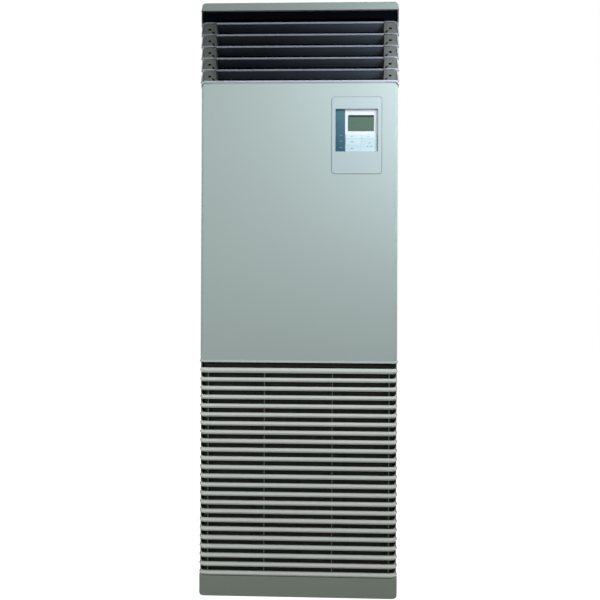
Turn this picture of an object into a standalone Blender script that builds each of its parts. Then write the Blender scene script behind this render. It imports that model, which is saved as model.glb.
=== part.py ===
"""Floor standing air conditioner, a tall cabinet that stands on the floor.

The front faces -Y and +X is to the right of someone who looks at it. The origin
is on the floor in the middle of the footprint. Sizes are in metres.
"""
import math

import bmesh
import bpy

# Cabinet
WIDTH = 0.586
DEPTH = 0.320
WRAP = 0.048
CORNER_RADIUS = 0.018
SHEET = 0.0015
FLANGE = 0.014
CLEAR = 0.0003
SMOOTH_ANGLE = 35.0
ROUND_SHARE = 0.499

# Steps in curves, and sides of round pieces
CORNER_STEPS = 5
EDGE_STEPS = 2
SMALL_STEPS = 3
TAB_STEPS = 4
CURVE_STEPS = 8
LID_STEPS = 6
NOSE_STEPS = 10
BLADE_STEPS = 6
SLAT_STEPS = 3
BORE_SIDES = 8
PIN_SIDES = 12
DISC_SIDES = 24

# Base
PLINTH_HEIGHT = 0.0585
PLINTH_WALL = 0.009
PLINTH_SEAM = 0.0019
PLINTH_EDGE = 0.002
FOOT_RADIUS = 0.008
PAN_PLATE = 0.003
ANCHOR_SIZE = 0.048
ANCHOR_PLATE = 0.004
ANCHOR_SLOT_WIDTH = 0.012
ANCHOR_SLOT_LENGTH = 0.024

# Intake grille
SLAT_COUNT = 24
SLAT_PITCH = 0.026
SLAT_HEIGHT = 0.0117
SLAT_DEPTH = 0.015
SLAT_NOSE = 0.4
SLAT_CROWN = 0.006
SLAT_LIP = 0.0035
SLAT_RELIEF = 0.001
SLAT_MARGIN = 0.006
TOP_SLAT_HEIGHT = 0.0145
TOP_GAP = 0.0165
GRILLE_WALL = 0.0035
GRILLE_WALL_INSET = 0.003
GRILLE_WALL_START = 70.0
GUSSET_START = 8.0
GUSSET_END = 73.0
GUSSET_HEIGHT = 0.0115
GUSSET_LAP = 0.003
RIB_WIDTH = 0.0025
RIB_LAP = 0.003
RIB_BEHIND = 0.0065
RIB_FROM_MIDDLE = 0.1005
RIB_FROM_EDGE = 0.0255

# Filter behind the grille
FILTER_DEPTH = 0.006
FILTER_BAR = 0.010
FILTER_MARGIN = 0.006
FILTER_SIDE = 0.001
FILTER_COLUMNS = 4
FILTER_ROWS = 5
FILTER_MESH = 0.0012

# Front panel
PANEL_HEIGHT = 0.8208
PANEL_SHEET = 0.0025
PANEL_CORNER = 0.009
PANEL_TOP_RADIUS = 0.013
HEM_HEIGHT = 0.0066
HEM_PROUD = 0.0025
HEM_EDGE = 0.0022

# Control cover, set into the front panel
COVER_FROM_EDGE = 0.1242
COVER_WIDTH = 0.1476
COVER_HEIGHT = 0.2268
COVER_DROP = 0.0382
COVER_RADIUS = 0.009
COVER_PROUD = 0.001
COVER_PLATE = 0.003
COVER_EDGE = 0.001
WINDOW_WIDTH = 0.1250
WINDOW_HEIGHT = 0.1257
WINDOW_DROP = 0.0353
WINDOW_RADIUS = 0.002
WINDOW_DEPTH = 0.010
TUNNEL_WALL = 0.0025
TUNNEL_DEPTH = 0.0145

# Wired controller behind the window
CONTROLLER_DEPTH = 0.012
STRIP_WIDTH = 0.0285
STRIP_RAISE = 0.0008
DISPLAY_WIDTH = 0.0761
DISPLAY_HEIGHT = 0.047
DISPLAY_SIDE = 0.009
DISPLAY_DROP = 0.0168
DISPLAY_RAISE = 0.0016
KEY_RAISE = 0.0020
KEY_RADIUS = 0.0012
KEY_GAP = 0.0016
KEY_MARGIN = 0.0014
TOP_KEY_HEIGHT = 0.0122
LOW_KEY_HEIGHT = 0.0178

# Air outlet
PANEL_SEAM = 0.0036
SILL_HEIGHT = 0.0068
SILL_EDGE = 0.0025
SILL_RAIL = 0.006
POST_WIDTH = 0.0451
POST_LEAN = 0.003
TAB_LAP = 0.005
TAB_SHOULDER = 0.0045
TAB_FLARE = 0.0015
TAB_CORNER_WIDTH = 0.015
TAB_CORNER_HEIGHT = 0.0095
BEAD_WIDTH = 0.005
BEAD_DEPTH = 0.0024
GROOVE_WIDTH = 0.0012
GROOVE_FLANK = ((0.2, -2.0), (0.8, 0.3), (1.0, 1.0))
STRIP_SIDE = 0.0025
STRIP_THICKNESS = 0.0035
STRIP_BACK = 0.0034
STRIP_LAP = 0.003
STRIP_RADIUS = 0.008
SLOT_FROM_EDGE = 0.0275
SLOT_DROP = 0.019
SLOT_WIDTH = 0.010
SLOT_HEIGHT = 0.006
SLOT_DEPTH = 0.009
NOTCH_IN = 0.0012
NOTCH_WIDTH = 0.006
NOTCH_HEIGHT = 0.0065
NOTCH_SLANT = 0.0045
NOTCH_DEPTH = 0.012
FIRST_NOSE = 0.031
LOUVER_COUNT = 5
LOUVER_PITCH = 0.0346
LOUVER_GAP = 0.005
NOSE_GAP = 0.0015
LOUVER_REST = 30.0
LOUVER_CHORD = 0.036
LOUVER_THICKNESS = 0.0024
LOUVER_TAIL = 0.0014
LOUVER_CAMBER = 0.0015
NOSE_SET = 0.003
NOSE_RADIUS = 0.0029
NOSE_COVER = 0.0001
NOSE_CUT = 0.0018
PIN_RADIUS = 0.0018
PIN_REACH = 0.006
BAND_HEIGHT = 0.0337
HOOD_BACK = 0.010
HOOD_WALL = 0.0025
HOOD_LIP = 0.0105

# Duct and guide vanes behind the louvres
DUCT_WALL = 0.0025
DUCT_DEPTH = 0.180
DUCT_BEND = 0.070
VANE_COUNT = 13
VANE_THICKNESS = 0.0016
VANE_DEPTH = 0.030
VANE_BACK = 0.009
VANE_MARGIN = 0.006
VANE_BAR = 0.005
VANE_BAR_PLACES = (0.2, 0.8)

# Top cover
CAP_HEIGHT = 0.023
CAP_SIDE = 0.0015
CAP_DRAFT = 0.002
CAP_RADIUS = 0.012
CAP_LIP = 0.012
CAP_WALL = 0.003
CAP_EDGE = 0.003

# Back and side sheets
SWAGE_COUNT = 4
SWAGE_WIDTH = 0.060
SWAGE_FROM_EDGE = 0.090
SWAGE_DEPTH = 0.004
SWAGE_RAMP = 0.006
SWAGE_MARGIN = 0.080
SWAGE_BREAK = 0.090
KNOCKOUT_RADIUS = 0.032
KNOCKOUT_FROM_BACK = 0.070
KNOCKOUT_RISE = 0.080

# Levels, from the floor up
GRILLE_BOTTOM = PLINTH_HEIGHT + PLINTH_SEAM
TOP_SLAT_BOTTOM = GRILLE_BOTTOM + (SLAT_COUNT - 1) * SLAT_PITCH
PANEL_BOTTOM = TOP_SLAT_BOTTOM + TOP_SLAT_HEIGHT + TOP_GAP
PANEL_TOP = PANEL_BOTTOM + PANEL_HEIGHT
SILL_BOTTOM = PANEL_TOP + PANEL_SEAM
SILL_TOP = SILL_BOTTOM + SILL_HEIGHT
POST_BOTTOM = SILL_TOP + CLEAR
LOWEST_NOSE = POST_BOTTOM + FIRST_NOSE
TOP_NOSE = LOWEST_NOSE + (LOUVER_COUNT - 1) * LOUVER_PITCH
NOSE_ABOVE = NOSE_RADIUS + NOSE_COVER
POST_TOP = TOP_NOSE + NOSE_ABOVE
CAP_BOTTOM = POST_TOP + BAND_HEIGHT
HEIGHT = CAP_BOTTOM + CAP_HEIGHT

# Planes, from the middle out
HALF = WIDTH / 2
FRONT = -DEPTH / 2
BACK = DEPTH / 2
WRAP_END = FRONT + WRAP
POST_INNER = HALF - POST_WIDTH
PANEL_FACE = FRONT + HEM_PROUD
COVER_FACE = PANEL_FACE - COVER_PROUD
COVER_CENTRE = HALF - COVER_FROM_EDGE
COVER_TOP = PANEL_TOP - COVER_DROP
WINDOW_TOP = COVER_TOP - WINDOW_DROP
CONTROLLER_FACE = PANEL_FACE + WINDOW_DEPTH
PIVOT_Y = FRONT + NOSE_SET + NOSE_RADIUS
DUCT_END = WRAP_END + DUCT_DEPTH
STRIP_OUTER = HALF - STRIP_SIDE
STRIP_INNER = STRIP_OUTER - STRIP_THICKNESS

# Curves round the panel's upper corners, which the rail above follows
BEND_X = HALF - HEM_PROUD - PANEL_TOP_RADIUS
BEND_Z = PANEL_TOP - PANEL_TOP_RADIUS
RAIL_INNER = PANEL_TOP_RADIUS + PANEL_SEAM
RAIL_OUTER = RAIL_INNER + SILL_HEIGHT


def clear_scene():
    """Start from an empty scene."""
    for old in list(bpy.data.objects):
        bpy.data.objects.remove(old, do_unlink=True)


def finish(name, colour, roughness, metallic=0.0):
    """A plain surface finish."""
    made = bpy.data.materials.new(name)
    made.use_nodes = True
    shader = made.node_tree.nodes["Principled BSDF"]
    shader.inputs["Base Color"].default_value = (*colour, 1.0)
    shader.inputs["Roughness"].default_value = roughness
    shader.inputs["Metallic"].default_value = metallic
    return made


def arc(centre, radius, start, end, steps, upright=None):
    """Points on an arc between two angles in degrees; an oval has an upright radius too."""
    height = radius if upright is None else upright
    points = []
    for step in range(steps + 1):
        angle = math.radians(start + (end - start) * step / steps)
        points.append((centre[0] + radius * math.cos(angle), centre[1] + height * math.sin(angle)))
    return points


def circle(centre, radius, sides):
    """Points round a full circle."""
    return arc(centre, radius, 0.0, 360.0 * (sides - 1) / sides, sides - 1)


def rounded_rectangle(left, right, bottom, top, low_radius, high_radius, steps=CORNER_STEPS):
    """Outline with one radius at its lower corners and one at its upper corners."""
    outline = []
    corners = ((left, bottom, 180.0, low_radius), (right, bottom, 270.0, low_radius),
               (right, top, 0.0, high_radius), (left, top, 90.0, high_radius))
    for across, up, start, radius in corners:
        if radius <= 0.0:
            outline.append((across, up))
            continue
        centre_x = across + (radius if across == left else -radius)
        centre_z = up + (radius if up == bottom else -radius)
        outline += arc((centre_x, centre_z), radius, start, start + 90.0, steps)
    return outline


def wrap_path(inset, radius=CORNER_RADIUS, rear=WRAP_END, steps=CORNER_STEPS):
    """Plan path from the left side round both front corners to the right side."""
    reach = radius - inset
    left = arc((-HALF + radius, FRONT + radius), reach, 180.0, 270.0, steps)
    right = arc((HALF - radius, FRONT + radius), reach, 270.0, 360.0, steps)
    return [(-HALF + inset, rear)] + left + right + [(HALF - inset, rear)]


def add_skin(bm, loops):
    """Add a closed body: a skin over loops of equal length, with a flat face at each end."""
    rings = [[bm.verts.new(point) for point in loop] for loop in loops]
    count = len(loops[0])
    for ring, after in zip(rings, rings[1:]):
        for index in range(count):
            beside = (index + 1) % count
            bm.faces.new((ring[index], ring[beside], after[beside], after[index]))
    bm.faces.new(list(reversed(rings[0])))
    bm.faces.new(rings[-1])


def add_prism(bm, outline, axis, low, high):
    """Add a closed body: an outline carried along one axis."""
    loops = []
    for level in (low, high):
        if axis == "X":
            loops.append([(level, first, second) for first, second in outline])
        elif axis == "Y":
            loops.append([(first, level, second) for first, second in outline])
        else:
            loops.append([(first, second, level) for first, second in outline])
    add_skin(bm, loops)


def add_box(bm, x_range, y_range, z_range):
    """Add a closed box between two values along each axis."""
    outline = rounded_rectangle(*x_range, *y_range, 0.0, 0.0)
    add_prism(bm, outline, "Z", *z_range)


def soften(bm, width, steps, chosen):
    """Round the edges that a test picks."""
    edges = [edge for edge in bm.edges if chosen(edge)]
    bmesh.ops.bevel(bm, geom=edges, offset=width, offset_type="OFFSET", segments=steps,
                    profile=0.5, affect="EDGES", clamp_overlap=True)


def on_plane(edge, axis, level):
    """True where both ends of an edge lie on a plane across one axis."""
    return all(abs(vert.co[axis] - level) < 1e-6 for vert in edge.verts)


def shade(mesh):
    """Shade round faces smooth and keep the edges between flat ones crisp."""
    mesh.shade_smooth()
    mesh.set_sharp_from_angle(angle=math.radians(SMOOTH_ANGLE))


def add_object(name, bm, material):
    """Turn a bmesh into a named object with its faces pointing out."""
    bmesh.ops.recalc_face_normals(bm, faces=bm.faces)
    mesh = bpy.data.meshes.new(name)
    bm.to_mesh(mesh)
    bm.free()
    mesh.materials.append(material)
    shade(mesh)
    made = bpy.data.objects.new(name, mesh)
    bpy.context.collection.objects.link(made)
    return made


def boolean(target, tool, operation):
    """Join, cut or trim a piece with a guide, which is then removed."""
    modifier = target.modifiers.new(tool.name, "BOOLEAN")
    modifier.operation = operation
    modifier.object = tool
    bpy.context.view_layer.update()
    graph = bpy.context.evaluated_depsgraph_get()
    shaped = bpy.data.meshes.new_from_object(target.evaluated_get(graph), depsgraph=graph)
    target.modifiers.clear()
    plain = target.data
    target.data = shaped
    bpy.data.meshes.remove(plain)
    bpy.data.objects.remove(tool, do_unlink=True)
    shaped.name = target.name
    shade(shaped)


def band_outline(inner_inset, outer_inset=0.0, **path):
    """Closed plan outline of a wall that wraps round both front corners."""
    return wrap_path(outer_inset, **path) + list(reversed(wrap_path(inner_inset, **path)))


def make_plinth(material):
    """Moulded skirt with rounded lower corners and a rounded upper edge."""
    bm = bmesh.new()
    add_prism(bm, band_outline(PLINTH_WALL), "Z", 0.0, PLINTH_HEIGHT)
    outer = wrap_path(0.0)

    def top_outside(edge):
        if not on_plane(edge, 2, PLINTH_HEIGHT):
            return False
        ends = [(vert.co.x, vert.co.y) for vert in edge.verts]
        return all(min(math.dist(end, point) for point in outer) < 1e-6 for end in ends)

    soften(bm, PLINTH_EDGE, EDGE_STEPS, top_outside)
    skirt = add_object("base_plinth", bm, material)
    guide = bmesh.new()
    outline = rounded_rectangle(-HALF, HALF, 0.0, PLINTH_HEIGHT + PLINTH_SEAM, FOOT_RADIUS, 0.0)
    add_prism(guide, outline, "Y", FRONT - WRAP, BACK + WRAP)
    boolean(skirt, add_object("guide_plinth_feet", guide, material), "INTERSECT")
    return skirt


def make_pan(material):
    """Tray under the cabinet, open below, with slotted anchor plates in its corners."""
    front = WRAP_END + CLEAR
    bm = bmesh.new()
    outline = rounded_rectangle(-HALF, HALF, 0.0, PLINTH_HEIGHT, FOOT_RADIUS, 0.0)
    add_prism(bm, outline, "Y", front, BACK)
    pan = add_object("base_pan", bm, material)
    hollow = bmesh.new()
    inner = HALF - PLINTH_WALL
    add_box(hollow, (-inner, inner), (front + PLINTH_WALL, BACK - PLINTH_WALL),
            (-PLINTH_HEIGHT, PLINTH_HEIGHT - PAN_PLATE))
    boolean(pan, add_object("cutter_pan_hollow", hollow, material), "DIFFERENCE")
    plates = bmesh.new()
    slots = bmesh.new()
    overlap = PLINTH_WALL / 2
    for side in (-1, 1):
        for rear in (False, True):
            corner_x = side * (inner + overlap)
            corner_y = (BACK - overlap) if rear else (front + overlap)
            inner_x = corner_x - side * ANCHOR_SIZE
            inner_y = corner_y - ANCHOR_SIZE if rear else corner_y + ANCHOR_SIZE
            add_box(plates, sorted((corner_x, inner_x)), sorted((corner_y, inner_y)),
                    (FOOT_RADIUS, FOOT_RADIUS + ANCHOR_PLATE))
            middle_x = (corner_x - side * overlap + inner_x) / 2
            middle_y = (corner_y + inner_y + (-overlap if rear else overlap)) / 2
            half_width = ANCHOR_SLOT_WIDTH / 2
            half_length = ANCHOR_SLOT_LENGTH / 2
            slot = rounded_rectangle(middle_x - half_length, middle_x + half_length,
                                     middle_y - half_width, middle_y + half_width,
                                     ANCHOR_SLOT_WIDTH * ROUND_SHARE,
                                     ANCHOR_SLOT_WIDTH * ROUND_SHARE, TAB_STEPS)
            add_prism(slots, slot, "Z", 0.0, PLINTH_HEIGHT - PAN_PLATE - ANCHOR_PLATE)
    boolean(pan, add_object("guide_anchor_plates", plates, material), "UNION")
    boolean(pan, add_object("cutter_anchor_slots", slots, material), "DIFFERENCE")
    return pan


def slat_section(height):
    """Rounded bar: (inset from the outer face, height above its own underside)."""
    nose = SLAT_NOSE * height
    section = [(SLAT_LIP, 0.0), (0.0, nose)]
    for step in range(1, SLAT_STEPS + 1):
        angle = math.radians(90.0 * step / SLAT_STEPS)
        section.append((SLAT_CROWN * (1.0 - math.cos(angle)), nose + (height - nose) * math.sin(angle)))
    section.append((SLAT_DEPTH, height - SLAT_RELIEF))
    section.append((SLAT_DEPTH, SLAT_RELIEF))
    return section


def add_slat(bm, bottom, height):
    """Sweep a slat round both front corners."""
    rear = WRAP_END - SLAT_MARGIN
    lines = []
    for inset, rise in slat_section(height):
        path = wrap_path(inset, rear=rear, steps=SLAT_STEPS)
        lines.append([(x, y, bottom + rise) for x, y in path])
    add_skin(bm, list(zip(*lines)))


def side_wall_outline(side):
    """Plan outline of the grille's side wall, from part way round the corner to the back."""
    centre = (HALF - CORNER_RADIUS, FRONT + CORNER_RADIUS)
    reach = CORNER_RADIUS - GRILLE_WALL_INSET
    outline = []
    for radius in (reach, reach - GRILLE_WALL):
        line = arc(centre, radius, 270.0 + GRILLE_WALL_START, 360.0, EDGE_STEPS)
        line.append((centre[0] + radius, WRAP_END))
        outline += line if radius == reach else reversed(line)
    return [(side * x, y) for x, y in outline]


def add_gusset(bm, side, low):
    """Web over a slat's corner whose top rises along an oval and runs into the side wall."""
    centre = (HALF - CORNER_RADIUS, FRONT + CORNER_RADIUS)
    outer = CORNER_RADIUS - GRILLE_WALL_INSET - CLEAR
    inner = outer - GRILLE_WALL + 2 * CLEAR
    loops = []
    for step in range(SLAT_STEPS + 1):
        turn = math.radians(90.0 * step / SLAT_STEPS)
        bearing = math.radians(GUSSET_START + (GUSSET_END - GUSSET_START) * math.sin(turn))
        high = low + GUSSET_LAP / 2 + GUSSET_HEIGHT * (1.0 - math.cos(turn))
        corners = ((outer, low), (outer, high), (inner, high), (inner, low))
        loops.append([(side * (centre[0] + radius * math.sin(bearing)),
                       centre[1] - radius * math.cos(bearing), level) for radius, level in corners])
    add_skin(bm, loops)


def make_grille(material):
    """Lift-off intake grille: wrapped slats, walls at both sides and upright ribs."""
    slats = bmesh.new()
    for index in range(SLAT_COUNT - 1):
        add_slat(slats, GRILLE_BOTTOM + index * SLAT_PITCH, SLAT_HEIGHT)
    add_slat(slats, TOP_SLAT_BOTTOM, TOP_SLAT_HEIGHT)
    grille = add_object("intake_grille", slats, material)

    frame = bmesh.new()
    rib_top = TOP_SLAT_BOTTOM + TOP_SLAT_HEIGHT / 2
    rib_bottom = GRILLE_BOTTOM + SLAT_HEIGHT / 2
    rib_rear = FRONT + SLAT_DEPTH + RIB_BEHIND
    for side in (-1, 1):
        add_prism(frame, side_wall_outline(side), "Z", GRILLE_BOTTOM - CLEAR, PANEL_BOTTOM - CLEAR)
        for place in (RIB_FROM_MIDDLE, HALF - RIB_FROM_EDGE):
            middle = side * place
            add_box(frame, (middle - RIB_WIDTH / 2, middle + RIB_WIDTH / 2),
                    (FRONT + SLAT_DEPTH - RIB_LAP, rib_rear), (rib_bottom, rib_top))
    boolean(grille, add_object("guide_grille_frame", frame, material), "UNION")

    gussets = bmesh.new()
    for side in (-1, 1):
        for index in range(SLAT_COUNT - 1):
            add_gusset(gussets, side, GRILLE_BOTTOM + index * SLAT_PITCH + SLAT_HEIGHT - GUSSET_LAP)
    boolean(grille, add_object("guide_grille_gussets", gussets, material), "UNION")
    return rib_rear


def make_filter(rib_rear, frame_material, mesh_material):
    """Air filter: a barred frame on the grille's ribs and a woven sheet behind it."""
    front = rib_rear + CLEAR
    half = HALF - SLAT_DEPTH - FILTER_SIDE
    low = GRILLE_BOTTOM + FILTER_MARGIN
    high = PANEL_BOTTOM - FILTER_MARGIN
    bm = bmesh.new()
    add_box(bm, (-half, half), (front, front + FILTER_DEPTH), (low, high))
    frame = add_object("filter_frame", bm, frame_material)
    holes = bmesh.new()
    column = (2 * half - FILTER_BAR) / FILTER_COLUMNS
    row = (high - low - FILTER_BAR) / FILTER_ROWS
    for across in range(FILTER_COLUMNS):
        for up in range(FILTER_ROWS):
            left = -half + FILTER_BAR + across * column
            bottom = low + FILTER_BAR + up * row
            add_box(holes, (left, left + column - FILTER_BAR),
                    (front - FILTER_DEPTH, front + 2 * FILTER_DEPTH),
                    (bottom, bottom + row - FILTER_BAR))
    boolean(frame, add_object("cutter_filter_holes", holes, frame_material), "DIFFERENCE")
    sheet = bmesh.new()
    rear = front + FILTER_DEPTH + CLEAR
    add_box(sheet, (-half, half), (rear, rear + FILTER_MESH), (low, high))
    add_object("filter_mesh", sheet, mesh_material)


def panel_form(name, inset, rear, material):
    """Panel block with rounded upright edges and rounded upper corners."""
    half = HALF - HEM_PROUD - inset
    face = PANEL_FACE + inset
    radius = PANEL_CORNER - inset
    plan = arc((-half + radius, face + radius), radius, 180.0, 270.0, CORNER_STEPS)
    plan += arc((half - radius, face + radius), radius, 270.0, 360.0, CORNER_STEPS)
    plan += [(half, rear), (-half, rear)]
    bm = bmesh.new()
    add_prism(bm, plan, "Z", PANEL_BOTTOM + inset, PANEL_TOP + PANEL_SEAM)
    block = add_object(name, bm, material)
    guide = bmesh.new()
    outline = rounded_rectangle(-half, half, PANEL_BOTTOM - PANEL_SEAM, PANEL_TOP - inset,
                                0.0, PANEL_TOP_RADIUS - inset)
    add_prism(guide, outline, "Y", face - WRAP, rear + WRAP)
    boolean(block, add_object("guide_" + name, guide, material), "INTERSECT")
    return block


def cover_outline(grow):
    """Rounded outline of the control cover, or of the hole that it sits in."""
    half = COVER_WIDTH / 2 + grow
    return rounded_rectangle(COVER_CENTRE - half, COVER_CENTRE + half,
                             COVER_TOP - COVER_HEIGHT - grow, COVER_TOP + grow,
                             COVER_RADIUS + grow, COVER_RADIUS + grow)


def window_outline(grow):
    """Outline of the window in the control cover, grown or shrunk."""
    half = WINDOW_WIDTH / 2 + grow
    radius = WINDOW_RADIUS + grow
    return rounded_rectangle(COVER_CENTRE - half, COVER_CENTRE + half,
                             WINDOW_TOP - WINDOW_HEIGHT - grow, WINDOW_TOP + grow,
                             radius, radius, SMALL_STEPS)


def make_front_panel(material):
    """Folded front panel with a proud lip along its lower edge and a hole for the cover."""
    panel = panel_form("front_panel", 0.0, WRAP_END, material)
    boolean(panel, panel_form("cutter_panel_hollow", PANEL_SHEET, WRAP_END + WRAP, material),
            "DIFFERENCE")
    hem = bmesh.new()
    radius = PANEL_CORNER + HEM_PROUD
    depth = HEM_PROUD + PANEL_SHEET / 2
    low = PANEL_BOTTOM + CLEAR
    outline = band_outline(depth, radius=radius, rear=WRAP_END - CLEAR)
    add_prism(hem, outline, "Z", low, low + HEM_HEIGHT)
    outer = wrap_path(0.0, radius=radius, rear=WRAP_END - CLEAR)

    def outside(edge):
        if abs(edge.verts[0].co.z - edge.verts[1].co.z) > 1e-6:
            return False
        ends = [(vert.co.x, vert.co.y) for vert in edge.verts]
        return all(min(math.dist(end, point) for point in outer) < 1e-6 for end in ends)

    soften(hem, HEM_EDGE, EDGE_STEPS, outside)
    boolean(panel, add_object("guide_panel_hem", hem, material), "UNION")
    hole = bmesh.new()
    add_prism(hole, cover_outline(CLEAR), "Y", FRONT - WRAP, PANEL_FACE + 2 * PANEL_SHEET)
    boolean(panel, add_object("cutter_cover_hole", hole, material), "DIFFERENCE")


def make_control_cover(material):
    """Bezel plate with a deep square window in front of the controller."""
    bm = bmesh.new()
    add_prism(bm, cover_outline(0.0), "Y", COVER_FACE, COVER_FACE + COVER_PLATE)
    soften(bm, COVER_EDGE, EDGE_STEPS, lambda edge: on_plane(edge, 1, COVER_FACE))
    cover = add_object("control_cover", bm, material)
    tunnel = bmesh.new()
    add_prism(tunnel, window_outline(TUNNEL_WALL), "Y", COVER_FACE + COVER_PLATE / 2,
              COVER_FACE + TUNNEL_DEPTH)
    boolean(cover, add_object("guide_tunnel", tunnel, material), "UNION")
    opening = bmesh.new()
    add_prism(opening, window_outline(0.0), "Y", COVER_FACE - TUNNEL_DEPTH,
              COVER_FACE + 2 * TUNNEL_DEPTH)
    boolean(cover, add_object("cutter_window", opening, material), "DIFFERENCE")


def make_plate(name, x_range, z_range, raised, radius, material):
    """Small rounded plate on the controller's face, with a softened front edge."""
    face = CONTROLLER_FACE - raised
    bm = bmesh.new()
    outline = rounded_rectangle(*x_range, *z_range, radius, radius, SMALL_STEPS)
    add_prism(bm, outline, "Y", face, CONTROLLER_FACE - CLEAR)
    soften(bm, raised / 4, 1, lambda edge: on_plane(edge, 1, face))
    add_object(name, bm, material)


def make_controller(case_material, strip_material, display_material, key_material):
    """Wired controller: case, coloured strip, display and five keys."""
    left = COVER_CENTRE - WINDOW_WIDTH / 2
    right = COVER_CENTRE + WINDOW_WIDTH / 2
    bottom = WINDOW_TOP - WINDOW_HEIGHT
    bm = bmesh.new()
    add_prism(bm, window_outline(-CLEAR), "Y", CONTROLLER_FACE, CONTROLLER_FACE + CONTROLLER_DEPTH)
    add_object("controller_body", bm, case_material)

    inside = 2 * CLEAR
    face_left = left + STRIP_WIDTH
    make_plate("indicator_strip", (left + inside, face_left), (bottom + inside, WINDOW_TOP - inside),
               STRIP_RAISE, KEY_RADIUS, strip_material)
    display_left = face_left + DISPLAY_SIDE
    display_top = WINDOW_TOP - DISPLAY_DROP
    make_plate("display", (display_left, display_left + DISPLAY_WIDTH),
               (display_top - DISPLAY_HEIGHT, display_top), DISPLAY_RAISE, KEY_RADIUS,
               display_material)

    middle = (face_left + right) / 2
    first = (face_left + KEY_MARGIN, middle - KEY_GAP / 2)
    second = (middle + KEY_GAP / 2, right - KEY_MARGIN)
    low_bottom = bottom + KEY_MARGIN
    mid_bottom = low_bottom + LOW_KEY_HEIGHT + KEY_GAP
    top_bottom = mid_bottom + LOW_KEY_HEIGHT + KEY_GAP
    keys = {
        "key_top_left": (first, (top_bottom, top_bottom + TOP_KEY_HEIGHT)),
        "key_top_right": (second, (top_bottom, top_bottom + TOP_KEY_HEIGHT)),
        "key_mid_left": (first, (mid_bottom, mid_bottom + LOW_KEY_HEIGHT)),
        "key_low_left": (first, (low_bottom, low_bottom + LOW_KEY_HEIGHT)),
        "key_on_off": (second, (low_bottom, mid_bottom + LOW_KEY_HEIGHT)),
    }
    for name, (across, up) in keys.items():
        make_plate(name, across, up, KEY_RAISE, KEY_RADIUS, key_material)


def nose_level(index):
    """Height of a louvre's nose, counted from the lowest."""
    return LOWEST_NOSE + index * LOUVER_PITCH


def tab_corner(inset, top, steps=TAB_STEPS, end=0.0):
    """Rounded upper outer corner of an outlet step, from its side to its top."""
    width = TAB_CORNER_WIDTH - inset
    height = TAB_CORNER_HEIGHT - inset
    centre = (HALF - TAB_SHOULDER - TAB_CORNER_WIDTH, top - TAB_CORNER_HEIGHT)
    return arc(centre, width, end, 90.0, steps, height)


def tab_foot(inset, bottom):
    """Lower edge of an outlet step; the lowest one follows the rail under it."""
    if bottom > POST_BOTTOM:
        return [(HALF - TAB_FLARE - inset, bottom)]
    radius = RAIL_OUTER + CLEAR
    end = math.degrees(math.acos((HALF - inset - BEND_X) / radius))
    return arc((BEND_X, BEND_Z), radius, 90.0, end, TAB_STEPS)


def tab_depth(top, low, z):
    """Depth of an outlet step's face, which leans back towards its foot."""
    return FRONT + POST_LEAN * (top - z) / (top - low)


def add_tab(bm, side, bottom, top, shift):
    """One step of an outlet post, with a round front edge along its top and side."""
    inner = POST_INNER + shift
    low = min(z for _, z in tab_foot(0.0, bottom))
    loops = []
    for step in range(EDGE_STEPS + 1):
        turn = math.radians(90.0 * step / EDGE_STEPS)
        inset = BEAD_WIDTH * (1.0 - math.cos(turn)) / 2
        depth = BEAD_DEPTH * (1.0 - math.sin(turn))
        outline = [(inner, bottom)] + tab_foot(inset, bottom)
        outline += tab_corner(inset, top) + [(inner, top - inset)]
        loops.append([(side * x, tab_depth(top, low, z) + depth, z) for x, z in outline])
    back = [(x, WRAP_END - shift, z) for x, _, z in loops[0]]
    add_skin(bm, [back] + loops)


def add_groove(bm, side, bottom, low, top):
    """Cutter for the groove that runs inside the bead along a step's top and side."""
    far = BEAD_WIDTH + GROOVE_WIDTH
    foot = min(z for _, z in tab_foot(0.0, bottom))
    loops = []
    for across, depth in GROOVE_FLANK:
        near = across * BEAD_WIDTH
        outline = []
        for inset in (near, far):
            line = [(HALF - TAB_FLARE - inset, low)] + tab_corner(inset, top)
            line.append((POST_INNER - LOUVER_GAP, top - inset))
            outline += line if inset == near else reversed(line)
        loops.append([(side * x, tab_depth(top, foot, z) + depth * BEAD_DEPTH, z)
                      for x, z in outline])
    add_skin(bm, loops)


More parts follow.
